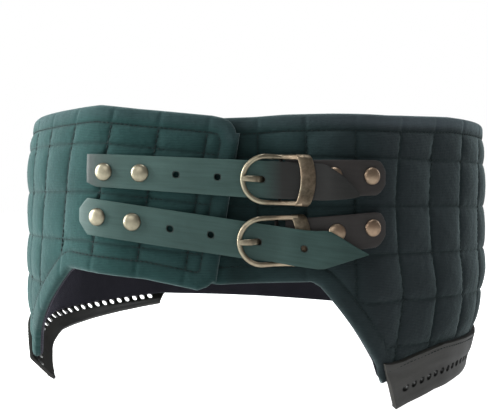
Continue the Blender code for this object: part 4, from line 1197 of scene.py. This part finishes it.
def keeperGrid(level, levels):
    # A flat bar across the frame, bulging to the right and wrapped over the frame's sides
    share = np.linspace(-1.0, 1.0, buckle["keeperRows"])
    across = share * (buckle["half"] + buckle["pastFrame"])
    along = buckle["keeperAt"] + buckle["keeperBulge"] * (1.0 - share**2)
    end = np.clip((np.abs(share) - 0.80) / 0.20, 0.0, 1.0)
    lift = levels[2] + 0.0006 - 0.0022 * end**2
    angle = np.arange(buckle["keeperSides"]) * 2 * np.pi / buckle["keeperSides"]
    cosine, sine = (np.sign(f) * np.abs(f) ** 0.42 for f in (np.cos(angle), np.sin(angle)))
    half = buckle["keeperHalf"] * (1.0 - 0.16 * end**3)
    a = along[:, None] + half[:, None] * cosine[None, :]
    c = np.broadcast_to(across[:, None], a.shape)
    crown = 0.0005 * (1.0 - cosine**2)
    high = lift[:, None] + buckle["keeperThick"] / 2 * sine[None, :] + crown[None, :]
    return fasteningPoint(level, a, c, high)


def makeBuckle(level):
    levels = frameLevels(level)
    reach = buckle["half"]
    straight = np.linspace(buckle["keeperAt"], buckle["left"] + buckle["corner"], 12)
    turn = np.radians(np.linspace(0, 90, 16))[1:]
    bend, around = np.cos(turn), np.sin(turn)
    along = np.concatenate([straight, buckle["left"] + buckle["corner"] * (1 - around)])
    across = np.concatenate([np.full(12, reach), reach * bend])
    along = np.concatenate([along, along[-2::-1]])
    across = np.concatenate([across, -across[-2::-1]])
    loop = tubeGrid(level, along, across, frameLift(along, levels), buckle["wire"],
                    buckle["flat"], buckle["sides"])
    bar = np.linspace(reach, -reach, 9)
    barGrid = tubeGrid(level, np.full(9, buckle["centreBar"]), bar, np.full(9, levels[1]),
                       buckle["barRadius"], buckle["barRadius"], 10, 2.0)
    keeper = keeperGrid(level, levels)
    up = np.clip(np.sin(np.arange(buckle["sides"]) * 2 * np.pi / buckle["sides"]), 0.0, 1.0)
    keeperUp = np.abs(np.cos(np.arange(buckle["keeperSides"]) * 2 * np.pi / buckle["keeperSides"])) ** 8
    # The centre bar's rub of -4 paints it near black as shade, where it lies under the strap
    rub = [np.broadcast_to(up, loop.shape[:2]), np.full(barGrid.shape[:2], -4.0),
           np.broadcast_to(keeperUp, keeper.shape[:2])]
    piece = brassPiece("buckleFrame" + level.capitalize(), [loop, barGrid, keeper[:, ::-1]], rub)
    return ready(piece, "antique_brass", "buckle_frame_" + level)


def makeProng(level):
    left, middle, _ = frameLevels(level)
    hole = buckle["prongHole"] + fastenings[level]["shift"]
    bases = {"bar": middle, "strap": strapUnder(level, hole) + straps["thick"],
             "frame": left + 0.0016 + 0.0003 + buckle["prongThick"]}
    along = buckle["prongHole"] - np.array(buckle["prongPast"])
    rise = np.array([bases[b] for b in buckle["prongBase"]]) + buckle["prongRise"]
    size = np.array(buckle["prongSize"])
    t = np.linspace(0.0, 1.0, 33)
    known = np.linspace(0.0, 1.0, len(along))
    along, rise, size = (softTable(t, known, v, 0.06) for v in (along, rise, size))
    grid = tubeGrid(level, along, np.zeros_like(along), rise, buckle["prongHalf"] * size,
                    buckle["prongThick"] * size, 16, 3.4)
    piece = brassPiece("buckleProng" + level.capitalize(), [grid],
                       [np.full(grid.shape[:2], 0.6)])
    return ready(piece, "antique_brass", "buckle_prong_" + level)


rivets = {
    "radius": 0.0060, "height": 0.0024, "sides": 40, "rings": 12, "gap": 0.0003,
    "places": [
        ("upper", "left", 1, -0.1006, 0.0005), ("upper", "left", 2, -0.0766, 0.0006),
        ("lower", "left", 1, -0.105, 0.0005), ("lower", "left", 2, -0.0818, 0.0007),
        ("upper", "right", 1, 0.0525, 0.0015), ("upper", "right", 2, 0.0783, 0.0015),
        ("lower", "right", 1, 0.0547, 0.0010), ("lower", "right", 2, 0.079, 0.0019),
    ],
}


def makeRivet(level, side, number, along, offset):
    # A dome turned about the wall's outward way: r = R sin a and h = H (0.2 + 0.8 cos a),
    # with a small flange at its foot
    bend = np.radians(np.linspace(4, 80, rivets["rings"]))
    r = np.concatenate([[0.93, 0.99, 1.0, 0.985], np.sin(bend)[::-1] / np.sin(bend[-1]) * 0.955])
    h = np.concatenate([[0.0, 0.02, 0.09, 0.17], 0.20 + 0.80 * np.cos(bend[::-1])])
    if side == "left":
        line, under = strapMiddle(level, along), lambda a: strapUnder(level, a)
    else:
        line, under = chapeMiddle(level, along), chapeUnder
    centre = wallPoint(along, line + offset, under(along) + straps["thick"] + rivets["gap"])
    slope = (under(along + rivets["radius"]) - under(along - rivets["radius"])) / (2 * rivets["radius"])
    out = outward(np.array(along))
    up = np.array([out[0] + slope * out[1], out[1] - slope * out[0], 0.0])
    up /= np.linalg.norm(up)
    across = np.cross([0.0, 0.0, 1.0], up)
    angle = np.arange(rivets["sides"]) * 2 * np.pi / rivets["sides"]
    ring = np.cos(angle)[:, None] * across + np.sin(angle)[:, None] * np.array([0.0, 0.0, 1.0])
    grid = centre + (r * rivets["radius"])[:, None, None] * ring[None]
    grid = grid + (h * rivets["height"])[:, None, None] * up
    name = "rivet" + level.capitalize() + side.capitalize() + str(number)
    rub = np.broadcast_to((0.25 + 0.75 * h / h.max())[:, None], grid.shape[:2])
    piece = brassPiece(name, [grid[:, ::-1]], [rub])
    return ready(piece, "antique_brass", f"rivet_{level}_{side}_{number}")


for level in ("upper", "lower"):
    makeBuckle(level)
    makeProng(level)
for row in rivets["places"]:
    makeRivet(*row)
print("buckles and rivets made")

# Floor, light and camera
studio = {
    "cameraBack": 0.672, "photoWide": 488, "focalPixels": 789, "shiftPixels": -11.0,
    "sensor": 36.0,
    "floorSize": 14.0, "floorGap": 0.001, "floorColour": (0.86, 0.86, 0.86, 1.0),
    "floorSeen": (1.0, 1.0, 1.0, 1.0), "floorGives": (0.25, 0.25, 0.25, 1.0),
    "ambient": 0.14, "backdrop": 1.0,
    "lights": {
        "key": {"at": (-1.85, -0.25, 0.55), "size": (0.8, 1.2), "power": 88.0,
                "colour": (0.97, 1.0, 1.0)},
        "fill": {"at": (-0.9, -2.2, 1.0), "size": (1.2, 1.0), "power": 11.0,
                "colour": (1.0, 1.0, 1.0)},
        "rim": {"at": (1.9, 0.7, 0.7), "size": (0.8, 1.0), "power": 9.0,
                "colour": (0.93, 0.97, 1.0)},
        "top": {"at": (0.35, -0.35, 2.1), "size": (0.9, 0.6), "power": 20.0,
                "colour": (0.90, 0.96, 1.0)},
    },
}


def makeFloor():
    size = studio["floorSize"]
    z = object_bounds()[0][2] - studio["floorGap"]
    points = np.array([[-size, -size, z], [size, -size, z], [size, size, z], [-size, size, z]])
    paint = Paint("pale floor")
    seen = paint.node("ShaderNodeLightPath", {}, {}, "Is Camera Ray")
    glow = paint.blend(seen, studio["floorGives"], studio["floorSeen"])
    paint.done(Base_Color=studio["floorColour"], Roughness=0.9, Specular_IOR_Level=0.1,
               Emission_Color=glow, Emission_Strength=1.0)
    meshPiece("paleFloor", points, [[0, 1, 2, 3]], paint.material)


def aimed(thing, place, target=(0.0, 0.0, -0.03)):
    way = np.array(target) - np.array(place)
    thing.location = place
    thing.rotation_mode = "XYZ"
    level = math.hypot(way[0], way[1])
    thing.rotation_euler = (math.atan2(level, -way[2]), 0.0, math.atan2(-way[0], way[1]))


def makeLight(name, spec):
    data = bpy.data.lights.new(name + "Light", "AREA")
    data.shape = "RECTANGLE"
    data.size, data.size_y = spec["size"]
    data.energy = spec["power"]
    data.color = spec["colour"]
    lamp = bpy.data.objects.new(name + "Light", data)
    bpy.context.scene.collection.objects.link(lamp)
    aimed(lamp, spec["at"])


def makeWorld():
    world = bpy.data.worlds.new("studio")
    world.use_nodes = True
    tree = world.node_tree
    background = tree.nodes["Background"]
    background.inputs["Color"].default_value = (1.0, 1.0, 1.0, 1.0)
    path = tree.nodes.new("ShaderNodeLightPath")
    mix = tree.nodes.new("ShaderNodeMapRange")
    mix.inputs["To Min"].default_value = studio["ambient"]
    mix.inputs["To Max"].default_value = studio["backdrop"]
    tree.links.new(path.outputs["Is Camera Ray"], mix.inputs["Value"])
    tree.links.new(mix.outputs[0], background.inputs["Strength"])
    bpy.context.scene.world = world


def makeCamera():
    data = bpy.data.cameras.new("camera")
    data.sensor_width = studio["sensor"]
    data.lens = studio["focalPixels"] / studio["photoWide"] * studio["sensor"]
    data.shift_x = studio["shiftPixels"] / studio["photoWide"]
    data.clip_start = 0.01
    camera = bpy.data.objects.new("camera", data)
    bpy.context.scene.collection.objects.link(camera)
    camera.location = (0.0, -studio["cameraBack"], 0.0)
    camera.rotation_euler = (math.radians(90.0), 0.0, 0.0)
    bpy.context.scene.camera = camera


makeFloor()
for name, spec in studio["lights"].items():
    makeLight(name, spec)
makeWorld()
makeCamera()
bpy.context.scene.view_settings.view_transform = "Standard"
print("studio set")
